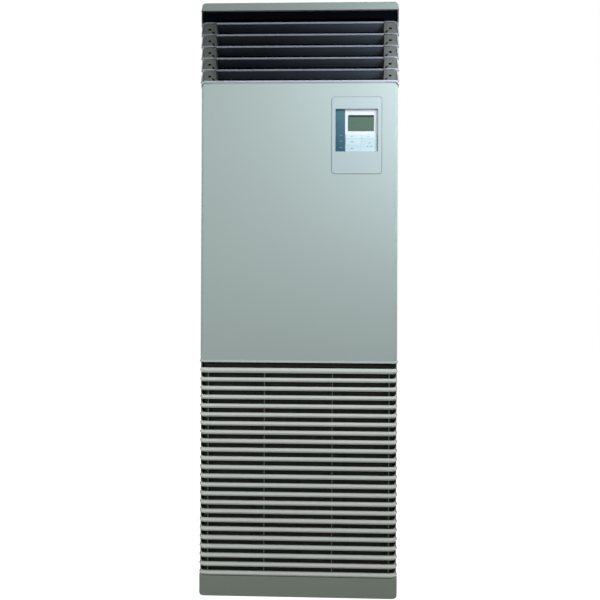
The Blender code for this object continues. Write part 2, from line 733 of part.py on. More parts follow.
def make_post(name, side, material):
    """Outlet post: beaded steps one behind another, with pivots and small pockets."""
    for group in range(2):
        tabs = bmesh.new()
        for index in range(group, LOUVER_COUNT, 2):
            top = nose_level(index) + NOSE_ABOVE
            bottom = POST_BOTTOM if index == 0 else top - LOUVER_PITCH - TAB_LAP
            add_tab(tabs, side, bottom, top, group * CLEAR)
        if group == 0:
            post = add_object(name, tabs, material)
        else:
            boolean(post, add_object("guide_tabs_" + name, tabs, material), "UNION")

    strip = bmesh.new()
    high = CAP_BOTTOM - CLEAR
    low = POST_TOP - TAB_CORNER_HEIGHT - STRIP_LAP
    outline = [(STRIP_OUTER, high), (STRIP_OUTER, low), (STRIP_INNER, low)]
    outline += arc((STRIP_INNER - STRIP_RADIUS, high - STRIP_RADIUS), STRIP_RADIUS, 0.0, 90.0,
                   TAB_STEPS)
    add_prism(strip, [(side * x, z) for x, z in outline], "Y", FRONT + STRIP_BACK, WRAP_END - CLEAR)
    boolean(post, add_object("guide_strip_" + name, strip, material), "UNION")

    grooves = bmesh.new()
    for index in range(LOUVER_COUNT):
        top = nose_level(index) + NOSE_ABOVE
        step = top - LOUVER_PITCH
        bottom = POST_BOTTOM if index == 0 else step - TAB_LAP
        add_groove(grooves, side, bottom, (POST_BOTTOM if index == 0 else step) + CLEAR, top)
    boolean(post, add_object("cutter_grooves_" + name, grooves, material), "DIFFERENCE")

    pockets = bmesh.new()
    for index in range(LOUVER_COUNT):
        level = nose_level(index)
        bore = circle((PIVOT_Y, level), PIN_RADIUS + CLEAR, BORE_SIDES)
        ends = sorted((side * (POST_INNER - LOUVER_GAP), side * (POST_INNER + PIN_REACH)))
        add_prism(pockets, bore, "X", *ends)
        middle = side * (HALF - SLOT_FROM_EDGE)
        slot = rounded_rectangle(middle - SLOT_WIDTH / 2, middle + SLOT_WIDTH / 2,
                                 level - SLOT_DROP - SLOT_HEIGHT / 2,
                                 level - SLOT_DROP + SLOT_HEIGHT / 2,
                                 SLOT_HEIGHT * ROUND_SHARE, SLOT_HEIGHT * ROUND_SHARE, EDGE_STEPS)
        add_prism(pockets, slot, "Y", FRONT - SLOT_DEPTH, FRONT + SLOT_DEPTH)
        near = POST_INNER + NOTCH_IN
        low = level + NOSE_ABOVE - LOUVER_PITCH + CLEAR
        high = low + NOTCH_HEIGHT
        notch = [(near, low), (near + NOTCH_WIDTH, low), (near + NOTCH_WIDTH + NOTCH_SLANT, high),
                 (near + NOTCH_SLANT, high)]
        add_prism(pockets, [(side * x, z) for x, z in notch], "Y", FRONT - NOTCH_DEPTH,
                  FRONT + NOTCH_DEPTH)
    boolean(post, add_object("cutter_pockets_" + name, pockets, material), "DIFFERENCE")


def rail_level(across, radius):
    """Height of a line that runs level and then turns down round the panel's upper corner."""
    past = max(0.0, abs(across) - BEND_X)
    return BEND_Z + math.sqrt(radius ** 2 - past ** 2)


def make_sill(material):
    """Light rail under the louvres whose ends turn down, with a plate behind it."""
    rise = SILL_EDGE / SILL_HEIGHT
    eased = 1.0 - math.sqrt(0.5)
    section = [(SILL_RAIL, 0.0), (SILL_EDGE, 0.0), (SILL_EDGE * eased, rise * eased), (0.0, rise),
               (0.0, 1.0 - rise), (SILL_EDGE * eased, 1.0 - rise * eased), (SILL_EDGE, 1.0),
               (SILL_RAIL, 1.0)]
    turn = HALF - PANEL_CORNER
    bends = [BEND_X, (BEND_X + turn) / 2]
    lines = []
    for inset, share in section:
        path = wrap_path(inset, radius=PANEL_CORNER)
        front = [(-x, FRONT + inset) for x in reversed(bends)] + [(x, FRONT + inset) for x in bends]
        middle = len(path) // 2
        line = []
        for x, y in path[:middle] + front + path[middle:]:
            low = rail_level(x, RAIL_INNER)
            high = rail_level(x, RAIL_OUTER)
            line.append((x, y, low + (high - low) * share))
        lines.append(line)
    bm = bmesh.new()
    add_skin(bm, list(zip(*lines)))
    sill = add_object("outlet_sill", bm, material)

    plate = bmesh.new()
    lap = 2 * CLEAR
    end = HALF - SILL_RAIL / 2
    across = [BEND_X + (end - BEND_X) * step / LID_STEPS for step in range(LID_STEPS + 1)]
    across = [-x for x in reversed(across)] + across
    outline = [(x, rail_level(x, RAIL_INNER + lap)) for x in across]
    outline += [(x, rail_level(x, RAIL_OUTER - lap)) for x in reversed(across)]
    add_prism(plate, outline, "Y", FRONT + SILL_RAIL / 2, WRAP_END - lap)
    boolean(sill, add_object("guide_sill_plate", plate, material), "UNION")


def make_hood(material):
    """Black recess over the louvres, open below and behind."""
    half = STRIP_INNER - CLEAR
    top = CAP_BOTTOM - 2 * CLEAR
    front = FRONT + HOOD_BACK
    radius = STRIP_RADIUS + CLEAR
    middle = HALF - TAB_SHOULDER - TAB_CORNER_WIDTH
    start = math.degrees(math.acos((half - middle) / (TAB_CORNER_WIDTH + CLEAR)))
    foot = list(reversed(tab_corner(-CLEAR, POST_TOP, CURVE_STEPS, start)))
    outline = [(-x, z) for x, z in reversed(foot)] + foot
    outline += arc((half - radius, top - radius), radius, 0.0, 90.0, TAB_STEPS)
    outline += arc((radius - half, top - radius), radius, 90.0, 180.0, TAB_STEPS)
    bm = bmesh.new()
    add_prism(bm, outline, "Y", front, WRAP_END)
    hood = add_object("outlet_hood", bm, material)
    hollow = bmesh.new()
    add_box(hollow, (-POST_INNER, POST_INNER), (front + HOOD_WALL, WRAP_END + WRAP),
            (POST_BOTTOM, top - HOOD_WALL))
    boolean(hood, add_object("cutter_hood_hollow", hollow, material), "DIFFERENCE")
    mouth = bmesh.new()
    add_box(mouth, (-POST_INNER, POST_INNER), (front - WRAP, front + 2 * HOOD_WALL),
            (POST_BOTTOM, POST_TOP + HOOD_LIP))
    boolean(hood, add_object("cutter_hood_mouth", mouth, material), "DIFFERENCE")


def nose_outline():
    """Round nose with a flat at its back, about the pivot: (along the chord, up)."""
    half_flat = math.sqrt(NOSE_RADIUS ** 2 - NOSE_CUT ** 2)
    start = math.degrees(math.atan2(half_flat, NOSE_CUT))
    return arc((0.0, 0.0), NOSE_RADIUS, start, 360.0 - start, NOSE_STEPS)


def blade_outline():
    """Thin cambered blade behind the nose: (along the chord, up)."""
    start = NOSE_CUT + CLEAR
    upper = []
    lower = []
    for step in range(BLADE_STEPS + 1):
        share = step / BLADE_STEPS
        along = start + (LOUVER_CHORD - start) * share
        middle = -4.0 * LOUVER_CAMBER * share * (1.0 - share)
        half = (LOUVER_THICKNESS + (LOUVER_TAIL - LOUVER_THICKNESS) * share) / 2
        upper.append((along, middle + half))
        lower.append((along, middle - half))
    return lower + list(reversed(upper))


def make_louvers(blade_material, nose_material):
    """Five louvres; each is a dark blade behind a light nose with its pivot pins."""
    half = POST_INNER - LOUVER_GAP
    reach = POST_INNER + PIN_REACH - CLEAR
    for index in range(LOUVER_COUNT):
        number = LOUVER_COUNT - index
        place = (0.0, PIVOT_Y, nose_level(index))

        blade = bmesh.new()
        add_prism(blade, blade_outline(), "X", -half, half)
        made = add_object("louver_{}".format(number), blade, blade_material)
        made.location = place
        made.rotation_euler.x = math.radians(-LOUVER_REST)

        nose = bmesh.new()
        end = POST_INNER - NOSE_GAP
        add_prism(nose, nose_outline(), "X", -end, end)
        trim = add_object("louver_trim_{}".format(number), nose, nose_material)
        trim.location = place
        trim.rotation_euler.x = math.radians(-LOUVER_REST)
        pins = bmesh.new()
        add_prism(pins, circle((0.0, 0.0), PIN_RADIUS, PIN_SIDES), "X", -reach, reach)
        guide = add_object("guide_pins_{}".format(number), pins, nose_material)
        guide.parent = trim
        boolean(trim, guide, "UNION")


def duct_path(inset):
    """Side view of the duct's roof and back: (depth, height)."""
    roof = CAP_BOTTOM - 2 * CLEAR - inset
    rear = DUCT_END - inset
    radius = DUCT_BEND - inset
    path = [(WRAP_END + CLEAR, roof)]
    path += arc((rear - radius, roof - radius), radius, 90.0, 0.0, CURVE_STEPS)
    path.append((rear, SILL_BOTTOM))
    return path


def make_duct(material):
    """Duct behind the louvres: two cheeks and a roof that bends down into the back."""
    for name, side in (("duct_left", -1), ("duct_right", 1)):
        bm = bmesh.new()
        outline = [(WRAP_END + CLEAR, SILL_BOTTOM)] + duct_path(0.0)
        ends = sorted((side * POST_INNER, side * (POST_INNER + DUCT_WALL)))
        add_prism(bm, outline, "X", *ends)
        add_object(name, bm, material)
    bm = bmesh.new()
    outline = duct_path(0.0) + list(reversed(duct_path(DUCT_WALL)))
    half = POST_INNER - CLEAR
    add_prism(bm, outline, "X", -half, half)
    add_object("duct_back", bm, material)


def make_vanes(material):
    """Row of upright guide vanes, held by two bars between the duct's cheeks."""
    low = SILL_BOTTOM + VANE_MARGIN
    high = CAP_BOTTOM - DUCT_WALL - VANE_MARGIN
    front = WRAP_END + VANE_BACK
    half = POST_INNER - CLEAR
    pitch = 2 * POST_INNER / (VANE_COUNT + 1)
    bm = bmesh.new()
    for index in range(VANE_COUNT):
        middle = (index - (VANE_COUNT - 1) / 2) * pitch
        add_box(bm, (middle - VANE_THICKNESS / 2, middle + VANE_THICKNESS / 2),
                (front, front + VANE_DEPTH), (low, high))
    vanes = add_object("guide_vanes", bm, material)
    bars = bmesh.new()
    rear = front + VANE_DEPTH - VANE_BAR
    for place in VANE_BAR_PLACES:
        level = low + (high - low) * place
        add_box(bars, (-half, half), (rear - VANE_BAR, rear), (level, level + VANE_BAR))
    boolean(vanes, add_object("guide_vane_bars", bars, material), "UNION")


def cap_outline(inset):
    """Front view of the lid: sides that lean in a little and round upper corners."""
    low = HALF - CAP_SIDE - inset
    radius = CAP_RADIUS - inset
    across = low - CAP_DRAFT - radius
    level = HEIGHT - CAP_RADIUS
    return ([(-low, CAP_BOTTOM), (low, CAP_BOTTOM)]
            + arc((across, level), radius, 0.0, 90.0, LID_STEPS)
            + arc((-across, level), radius, 90.0, 180.0, LID_STEPS))


def make_top_cover(material):
    """Shallow lid with round upper corners, hollow below behind its front lip."""
    eased = CAP_EDGE * (1.0 - math.sqrt(0.5))
    bm = bmesh.new()
    add_skin(bm, [[(x, y, z) for x, z in cap_outline(inset)] for inset, y in
                  ((0.0, BACK), (0.0, FRONT + CAP_EDGE), (eased, FRONT + eased), (CAP_EDGE, FRONT))])
    lid = add_object("top_cover", bm, material)
    hollow = bmesh.new()
    outline = cap_outline(CAP_WALL)
    low = CAP_BOTTOM - CAP_HEIGHT
    outline = [(outline[0][0], low), (outline[1][0], low)] + outline[1:] + [outline[0]]
    add_prism(hollow, outline, "Y", FRONT + CAP_LIP, BACK - CAP_WALL)
    boolean(lid, add_object("cutter_lid_hollow", hollow, material), "DIFFERENCE")


def knockout_disc(bm, side, radius, x_inner, x_outer):
    """Disc across a side panel at the pipe entry."""
    centre = (BACK - KNOCKOUT_FROM_BACK, GRILLE_BOTTOM + KNOCKOUT_RISE)
    outline = circle(centre, radius, DISC_SIDES)
    add_prism(bm, outline, "X", *sorted((side * x_inner, side * x_outer)))


def make_side(name, side, material):
    """Folded side sheet with an inward flange at both ends and a round pipe entry."""
    front = WRAP_END + CLEAR
    rear = BACK - SHEET - CLEAR
    inner = HALF - SHEET
    outline = [(HALF, front), (HALF, rear), (HALF - FLANGE, rear), (HALF - FLANGE, rear - SHEET),
               (inner, rear - SHEET), (inner, front + SHEET), (HALF - FLANGE, front + SHEET),
               (HALF - FLANGE, front)]
    bm = bmesh.new()
    add_prism(bm, [(side * x, y) for x, y in outline], "Z", PLINTH_HEIGHT + CLEAR, CAP_BOTTOM - CLEAR)
    panel = add_object(name + "_side_panel", bm, material)
    hole = bmesh.new()
    knockout_disc(hole, side, KNOCKOUT_RADIUS + CLEAR, HALF - FLANGE, HALF + FLANGE)
    boolean(panel, add_object("cutter_pipe_entry_" + name, hole, material), "DIFFERENCE")
    blank = bmesh.new()
    knockout_disc(blank, side, KNOCKOUT_RADIUS, inner, HALF)
    add_object("pipe_blank_" + name, blank, material)


def make_back(material):
    """Back sheet with two tiers of pressed upright swages."""
    low = PLINTH_HEIGHT + CLEAR
    high = CAP_BOTTOM - CLEAR
    middle = (low + high) / 2
    across = [(-HALF, 0.0)]
    for index in range(SWAGE_COUNT):
        centre = (WIDTH - 2 * SWAGE_FROM_EDGE) * (index / (SWAGE_COUNT - 1) - 0.5)
        edge = SWAGE_WIDTH / 2
        across += [(centre - edge, 0.0), (centre - edge + SWAGE_RAMP, 1.0),
                   (centre + edge - SWAGE_RAMP, 1.0), (centre + edge, 0.0)]
    across.append((HALF, 0.0))
    up = [(low, 0.0)]
    for start, end in ((low + SWAGE_MARGIN, middle - SWAGE_BREAK / 2),
                       (middle + SWAGE_BREAK / 2, high - SWAGE_MARGIN)):
        up += [(start, 0.0), (start + SWAGE_RAMP, 1.0), (end - SWAGE_RAMP, 1.0), (end, 0.0)]
    up.append((high, 0.0))
    bm = bmesh.new()
    rows = []
    for z, raised in up:
        rows.append([bm.verts.new((x, BACK - SWAGE_DEPTH * pressed * raised, z))
                     for x, pressed in across])
    for below, above in zip(rows, rows[1:]):
        for index in range(len(across) - 1):
            bm.faces.new((below[index + 1], below[index], above[index], above[index + 1]))
    mesh = bpy.data.meshes.new("back_panel")
    bm.to_mesh(mesh)
    bm.free()
    mesh.materials.append(material)
    panel = bpy.data.objects.new("back_panel", mesh)
    bpy.context.collection.objects.link(panel)
    thicken = panel.modifiers.new("sheet", "SOLIDIFY")
    thicken.thickness = SHEET
    thicken.offset = -1.0


def main():
    """Build the whole air conditioner."""
    clear_scene()
    pale = finish("pale_grey_paint", (0.62, 0.70, 0.69), 0.42)
    grille = finish("grille_plastic", (0.52, 0.55, 0.53), 0.45)
    plinth = finish("plinth_paint", (0.20, 0.23, 0.20), 0.50)
    posts = finish("outlet_plastic", (0.30, 0.31, 0.28), 0.45)
    noses = finish("nose_plastic", (0.60, 0.62, 0.60), 0.35)
    dark = finish("charcoal_plastic", (0.03, 0.03, 0.033), 0.50)
    black = finish("black_plastic", (0.008, 0.008, 0.010), 0.45)
    zinc = finish("zinc_sheet", (0.55, 0.57, 0.58), 0.40, 0.9)
    white = finish("controller_plastic", (0.72, 0.75, 0.74), 0.40)
    blue = finish("strip_plastic", (0.03, 0.06, 0.11), 0.35)
    glass = finish("display_glass", (0.16, 0.18, 0.12), 0.15)

    make_plinth(plinth)
    make_pan(plinth)
    rib_rear = make_grille(grille)
    make_filter(rib_rear, dark, black)
    make_front_panel(pale)
    make_control_cover(pale)
    make_controller(white, blue, glass, white)
    make_sill(noses)
    make_post("outlet_post_left", -1, posts)
    make_post("outlet_post_right", 1, posts)
    make_louvers(dark, noses)
    make_hood(black)
    make_duct(black)
    make_vanes(dark)
    make_top_cover(noses)
    make_side("left", -1, pale)
    make_side("right", 1, pale)
    make_back(zinc)

    for piece in bpy.data.objects:
        piece.modifiers.new("even_shading", "WEIGHTED_NORMAL").keep_sharp = True


main()
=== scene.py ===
"""Floor standing air conditioner: finishes, small fastenings, room and camera."""
import math

import bmesh
import bpy
from mathutils import Matrix, Vector


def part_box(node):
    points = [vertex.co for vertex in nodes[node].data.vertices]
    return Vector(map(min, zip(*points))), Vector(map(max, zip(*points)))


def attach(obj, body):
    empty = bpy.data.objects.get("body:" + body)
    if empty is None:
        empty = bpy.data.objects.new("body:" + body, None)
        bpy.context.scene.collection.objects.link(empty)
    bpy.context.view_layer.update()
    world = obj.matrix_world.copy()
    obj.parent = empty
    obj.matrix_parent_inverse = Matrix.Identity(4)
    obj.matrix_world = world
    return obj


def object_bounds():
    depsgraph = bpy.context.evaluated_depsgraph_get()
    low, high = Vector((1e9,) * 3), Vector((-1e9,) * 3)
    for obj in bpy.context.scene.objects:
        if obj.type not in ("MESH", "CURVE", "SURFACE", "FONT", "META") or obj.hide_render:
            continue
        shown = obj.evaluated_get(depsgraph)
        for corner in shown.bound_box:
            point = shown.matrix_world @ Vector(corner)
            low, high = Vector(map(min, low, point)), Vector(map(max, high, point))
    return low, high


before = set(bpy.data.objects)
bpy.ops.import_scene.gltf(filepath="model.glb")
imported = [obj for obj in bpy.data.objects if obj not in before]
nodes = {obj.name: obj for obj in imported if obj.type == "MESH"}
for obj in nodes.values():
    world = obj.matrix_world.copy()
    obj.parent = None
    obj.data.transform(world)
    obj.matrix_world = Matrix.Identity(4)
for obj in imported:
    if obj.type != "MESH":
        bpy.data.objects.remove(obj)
cad_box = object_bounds()


# Plinth and base tray.
# The skirt is a moulded strip that clips over the front of a welded steel tray. Both are
# stoved in a mid grey enamel. The tray's rim stands on the floor and carries the cabinet.

crisp_angle = math.radians(35.0)


def round_over(node):
    """Shade a piece's rounded faces smooth and keep its real edges crisp."""
    tree = bpy.data.node_groups.get("soften_moulded_edges")
    if tree is None:
        tree = bpy.data.node_groups.new("soften_moulded_edges", "GeometryNodeTree")
        tree.interface.new_socket("Geometry", in_out="INPUT", socket_type="NodeSocketGeometry")
        edge_angle = tree.interface.new_socket("Angle", in_out="INPUT", socket_type="NodeSocketFloat")
        edge_angle.default_value = crisp_angle
        tree.interface.new_socket("Geometry", in_out="OUTPUT", socket_type="NodeSocketGeometry")
        put = tree.nodes.new
        start = put("NodeGroupInput")
        weld = put("GeometryNodeMergeByDistance")
        weld.inputs["Distance"].default_value = 0.00002
        bare = put("GeometryNodeRemoveAttribute")
        bare.inputs["Name"].default_value = "custom_normal"
        faces = put("GeometryNodeSetShadeSmooth")
        faces.domain = "FACE"
        fold = put("GeometryNodeInputMeshEdgeAngle")
        steep = put("FunctionNodeCompare")
        steep.data_type = "FLOAT"
        steep.operation = "GREATER_THAN"
        crisp = put("GeometryNodeSetShadeSmooth")
        crisp.domain = "EDGE"
        crisp.inputs["Shade Smooth"].default_value = False
        end = put("NodeGroupOutput")
        tie = tree.links.new
        tie(start.outputs["Geometry"], weld.inputs["Geometry"])
        tie(weld.outputs["Geometry"], bare.inputs["Geometry"])
        tie(bare.outputs["Geometry"], faces.inputs["Geometry"])
        tie(faces.outputs["Geometry"], crisp.inputs["Geometry"])
        tie(fold.outputs["Unsigned Angle"], steep.inputs["A"])
        tie(start.outputs["Angle"], steep.inputs["B"])
        tie(steep.outputs["Result"], crisp.inputs["Selection"])
        tie(crisp.outputs["Geometry"], end.inputs["Geometry"])
    piece = nodes[node]
    soften = piece.modifiers.new("soft_edges", "NODES")
    soften.node_group = tree
    even = piece.modifiers.new("even_light", "WEIGHTED_NORMAL")
    even.keep_sharp = True
    even.weight = 80


def effect(name, sockets):
    """A new effect with named sockets: (name, in or out, kind, value)."""
    group = bpy.data.node_groups.new(name, "ShaderNodeTree")
    kinds = {"colour": "NodeSocketColor", "value": "NodeSocketFloat", "vector": "NodeSocketVector"}
    for label, way, kind, value in sockets:
        made = group.interface.new_socket(label, in_out=way, socket_type=kinds[kind])
        if value is not None:
            made.default_value = value
    return group, group.nodes.new("NodeGroupInput"), group.nodes.new("NodeGroupOutput")


def place_in(group):
    """A point on the piece, and its three coordinates in metres."""
    place = group.nodes.new("ShaderNodeTexCoord").outputs["Object"]
    apart = group.nodes.new("ShaderNodeSeparateXYZ")
    group.links.new(place, apart.inputs["Vector"])
    return place, apart.outputs["X"], apart.outputs["Y"], apart.outputs["Z"]


def noise_in(group, coordinate, scale, detail=2.0, rough=0.5):
    """A noise of so many features to the metre."""
    noise = group.nodes.new("ShaderNodeTexNoise")
    noise.inputs["Scale"].default_value = scale
    noise.inputs["Detail"].default_value = detail
    noise.inputs["Roughness"].default_value = rough
    group.links.new(coordinate, noise.inputs["Vector"])
    return noise.outputs["Fac"]


def spread_in(group, value, low, high, start=0.0, stop=1.0):
    """Carry a value onto another range."""
    spread = group.nodes.new("ShaderNodeMapRange")
    group.links.new(value, spread.inputs["Value"])
    for label, amount in (("From Min", start), ("From Max", stop), ("To Min", low), ("To Max", high)):
        if isinstance(amount, float):
            spread.inputs[label].default_value = amount
        else:
            group.links.new(amount, spread.inputs[label])
    return spread.outputs["Result"]


def sum_in(group, operation, first, second):
    """One step of arithmetic between two values."""
    node = group.nodes.new("ShaderNodeMath")
    node.operation = operation
    for socket, amount in zip(node.inputs, (first, second)):
        if isinstance(amount, float):
            socket.default_value = amount
        else:
            group.links.new(amount, socket)
    return node.outputs["Value"]


def tint_in(group, share, first, second):
    """Lay one colour over another by a share."""
    node = group.nodes.new("ShaderNodeMix")
    node.data_type = "RGBA"
    for label, amount in (("Factor_Float", share), ("A_Color", first), ("B_Color", second)):
        socket = [item for item in node.inputs if item.identifier == label][0]
        if isinstance(amount, (float, tuple)):
            socket.default_value = amount
        else:
            group.links.new(amount, socket)
    return [item for item in node.outputs if item.identifier == "Result_Color"][0]


def scaled_in(group, colour, factor):
    """A colour made lighter or darker by a factor."""
    node = group.nodes.new("ShaderNodeVectorMath")
    node.operation = "SCALE"
    group.links.new(colour, node.inputs[0])
    group.links.new(factor, node.inputs["Scale"])
    return node.outputs["Vector"]


def toned_in(group, colour, slow, drift):
    """A colour that drifts a share lighter and darker with a slow noise."""
    tone = spread_in(group, slow, sum_in(group, "SUBTRACT", 1.0, drift), sum_in(group, "ADD", 1.0, drift),
                     0.3, 0.7)
    return scaled_in(group, colour, tone)


def dust_in(group, place, speck_scale, start_up, amount):
    """Dust that lies in specks on what faces up."""
    up = group.nodes.new("ShaderNodeSeparateXYZ")
    group.links.new(group.nodes.new("ShaderNodeNewGeometry").outputs["Normal"], up.inputs["Vector"])
    lying = spread_in(group, up.outputs["Z"], 0.0, 1.0, start_up, 0.95)
    speck = spread_in(group, noise_in(group, place, speck_scale, 4.0, 0.7), start_up, 1.0, 0.35, 0.65)
    return sum_in(group, "MULTIPLY", sum_in(group, "MULTIPLY", lying, speck), amount)


def stoved_paint():
    """Powder paint on sheet: faint orange peel, slow drift of tone, dust where it can lie."""
    group, start, end = effect("stoved_paint", (
        ("Paint", "INPUT", "colour", (0.6, 0.6, 0.6, 1.0)), ("Drift", "INPUT", "value", 0.05),
        ("Gloss Low", "INPUT", "value", 0.34), ("Gloss High", "INPUT", "value", 0.46),
        ("Dust", "INPUT", "value", 0.2), ("Colour", "OUTPUT", "colour", None),
        ("Roughness", "OUTPUT", "value", None), ("Peel", "OUTPUT", "value", None)))
    place = place_in(group)[0]
    toned = toned_in(group, start.outputs["Paint"], noise_in(group, place, 2.2, 2.0),
                     start.outputs["Drift"])
    dust = dust_in(group, place, 60.0, 0.35, start.outputs["Dust"])
    colour = tint_in(group, dust, toned, (0.36, 0.34, 0.30, 1.0))
    smear = noise_in(group, place, 9.0, 4.0, 0.6)
    rough = spread_in(group, smear, start.outputs["Gloss Low"], start.outputs["Gloss High"], 0.3, 0.7)
    rough = sum_in(group, "ADD", rough, sum_in(group, "MULTIPLY", dust, 0.5))
    peel = noise_in(group, place, 420.0, 2.0, 0.4)
    group.links.new(colour, end.inputs["Colour"])
    group.links.new(rough, end.inputs["Roughness"])
    group.links.new(peel, end.inputs["Peel"])
    return group


usual_specular = 0.17


def finish_from(name, group, values, height, bump, distance=0.001, **shader_values):
    """A material that takes its colour, roughness and relief from one effect.

    The surround is full white in reflections, so the usual specular level is a low one.
    """
    material = bpy.data.materials.new(name)
    material.use_nodes = True
    tree = material.node_tree
    shader = tree.nodes["Principled BSDF"]
    skin = tree.nodes.new("ShaderNodeGroup")
    skin.node_tree = group
    skin.name = group.name
    for label, value in values.items():
        skin.inputs[label].default_value = value
    tree.links.new(skin.outputs["Colour"], shader.inputs["Base Color"])
    tree.links.new(skin.outputs["Roughness"], shader.inputs["Roughness"])
    relief = tree.nodes.new("ShaderNodeBump")
    relief.inputs["Strength"].default_value = bump
    relief.inputs["Distance"].default_value = distance
    tree.links.new(skin.outputs[height], relief.inputs["Height"])
    tree.links.new(relief.outputs["Normal"], shader.inputs["Normal"])
    shader.inputs["Specular IOR Level"].default_value = usual_specular
    for label, value in shader_values.items():
        shader.inputs[label.replace("_", " ")].default_value = value
    return material


def dress(node, material):
    """Give a frame piece its finish in every slot."""
    round_over(node)
    for slot in nodes[node].material_slots:
        slot.material = material


paint_effect = stoved_paint()
plinth_enamel = finish_from(
    "plinth_enamel", paint_effect,
    {"Paint": (0.262, 0.300, 0.258, 1.0), "Drift": 0.05, "Gloss Low": 0.42, "Gloss High": 0.55,
     "Dust": 0.35}, height="Peel", bump=0.06)
dress("base_plinth", plinth_enamel)
dress("base_pan", plinth_enamel)


# Intake grille.
# One ABS moulding in light grey with a fine spark-eroded grain. It hooks in at the foot
# and snaps to the cabinet at its sides, and lifts off to reach the filter.

def moulded_plastic():
    """Moulded plastic: fine eroded grain, soft tone drift, dust in what faces up."""
    group, start, end = effect("moulded_plastic", (
        ("Plastic", "INPUT", "colour", (0.5, 0.5, 0.5, 1.0)), ("Drift", "INPUT", "value", 0.04),
        ("Gloss Low", "INPUT", "value", 0.38), ("Gloss High", "INPUT", "value", 0.52),
        ("Grain Scale", "INPUT", "value", 1500.0), ("Dust", "INPUT", "value", 0.2),
        ("Colour", "OUTPUT", "colour", None), ("Roughness", "OUTPUT", "value", None),
        ("Grain", "OUTPUT", "value", None)))
    place = place_in(group)[0]
    toned = toned_in(group, start.outputs["Plastic"], noise_in(group, place, 5.0, 3.0),
                     start.outputs["Drift"])
    dust = dust_in(group, place, 90.0, 0.3, start.outputs["Dust"])
    colour = tint_in(group, dust, toned, (0.33, 0.31, 0.27, 1.0))
    smear = noise_in(group, place, 14.0, 4.0, 0.6)
    rough = spread_in(group, smear, start.outputs["Gloss Low"], start.outputs["Gloss High"], 0.3, 0.7)
    rough = sum_in(group, "ADD", rough, sum_in(group, "MULTIPLY", dust, 0.4))
    grain = group.nodes.new("ShaderNodeTexVoronoi")
    grain.feature = "SMOOTH_F1"
    group.links.new(place, grain.inputs["Vector"])
    group.links.new(start.outputs["Grain Scale"], grain.inputs["Scale"])
    group.links.new(colour, end.inputs["Colour"])
    group.links.new(rough, end.inputs["Roughness"])
    group.links.new(grain.outputs["Distance"], end.inputs["Grain"])
    return group


plastic_effect = moulded_plastic()


def painted_depth_shading():
    """Painted shading by depth: what stands deeper than the face turns to another colour, darker for
    painted shade in a recess, lighter for painted light in a shaded seam.
    """
    group, start, end = effect("painted_depth_shading", (
        ("Face", "INPUT", "colour", (0.6, 0.6, 0.6, 1.0)),
        ("Inside", "INPUT", "colour", (0.1, 0.1, 0.1, 1.0)),
        ("From", "INPUT", "value", 0.0), ("To", "INPUT", "value", 0.01),
        ("Colour", "OUTPUT", "colour", None)))
    back = place_in(group)[2]
    depth = spread_in(group, back, 0.0, 1.0, start.outputs["From"], start.outputs["To"])
    group.links.new(tint_in(group, depth, start.outputs["Face"], start.outputs["Inside"]),
                    end.inputs["Colour"])
    return group


def colour_from(material, group, values):
    """Let a finish take its paint or plastic colour from an effect of its own."""
    tree = material.node_tree
    made = tree.nodes.new("ShaderNodeGroup")
    made.node_tree = group
    for label, value in values.items():
        made.inputs[label].default_value = value
    skin = [node for node in tree.nodes if node.name in ("stoved_paint", "moulded_plastic")][0]
    tree.links.new(made.outputs["Colour"], skin.inputs[0])


depth_shading_effect = painted_depth_shading()
grille_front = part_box("intake_grille")[0].y
grille_plastic = finish_from(
    "grille_plastic", plastic_effect,
    {"Drift": 0.03, "Gloss Low": 0.36, "Gloss High": 0.50,
     "Grain Scale": 1400.0, "Dust": 0.25}, height="Grain", bump=0.08, distance=0.0004)
# Surfaces from 7.5 to 13 mm behind the slats' faces darken: painted shade in the gaps and on the ribs
# behind.
colour_from(grille_plastic, depth_shading_effect, {
    "Face": (0.636, 0.668, 0.636, 1.0), "Inside": (0.110, 0.112, 0.104, 1.0),
    "From": grille_front + 0.0075, "To": grille_front + 0.0130})
dress("intake_grille", grille_plastic)


# Air filter.
# A charcoal frame with bars that slides in behind the grille, with a woven
# polypropylene net welded over its back. The net has caught a little grey lint.

def net_weave():
    """Woven net: two sets of threads that pass over and under, with lint between."""
    group, start, end = effect("net_weave", (
        ("Thread", "INPUT", "colour", (0.03, 0.03, 0.03, 1.0)), ("Pitch", "INPUT", "value", 0.0016),
        ("Lint", "INPUT", "value", 0.4), ("Colour", "OUTPUT", "colour", None),
        ("Roughness", "OUTPUT", "value", None), ("Weave", "OUTPUT", "value", None)))
    place, across, back, up = place_in(group)
    turns = sum_in(group, "DIVIDE", math.pi, start.outputs["Pitch"])
    threads = []
    for along in (across, up):
        wave = sum_in(group, "SINE", sum_in(group, "MULTIPLY", along, turns), 0.0)
        threads.append(sum_in(group, "ABSOLUTE", wave, 0.0))
    weave = sum_in(group, "MAXIMUM", threads[0], threads[1])
    lint_place = noise_in(group, place, 34.0, 5.0, 0.7)
    lint = sum_in(group, "MULTIPLY", spread_in(group, lint_place, 0.0, 1.0, 0.42, 0.72),
                  start.outputs["Lint"])
    thread = scaled_in(group, start.outputs["Thread"], spread_in(group, weave, 0.35, 1.0, 0.55, 0.95))
    colour = tint_in(group, lint, thread, (0.20, 0.19, 0.17, 1.0))
    group.links.new(colour, end.inputs["Colour"])
    group.links.new(spread_in(group, lint_place, 0.6, 0.9), end.inputs["Roughness"])
    group.links.new(weave, end.inputs["Weave"])
    return group


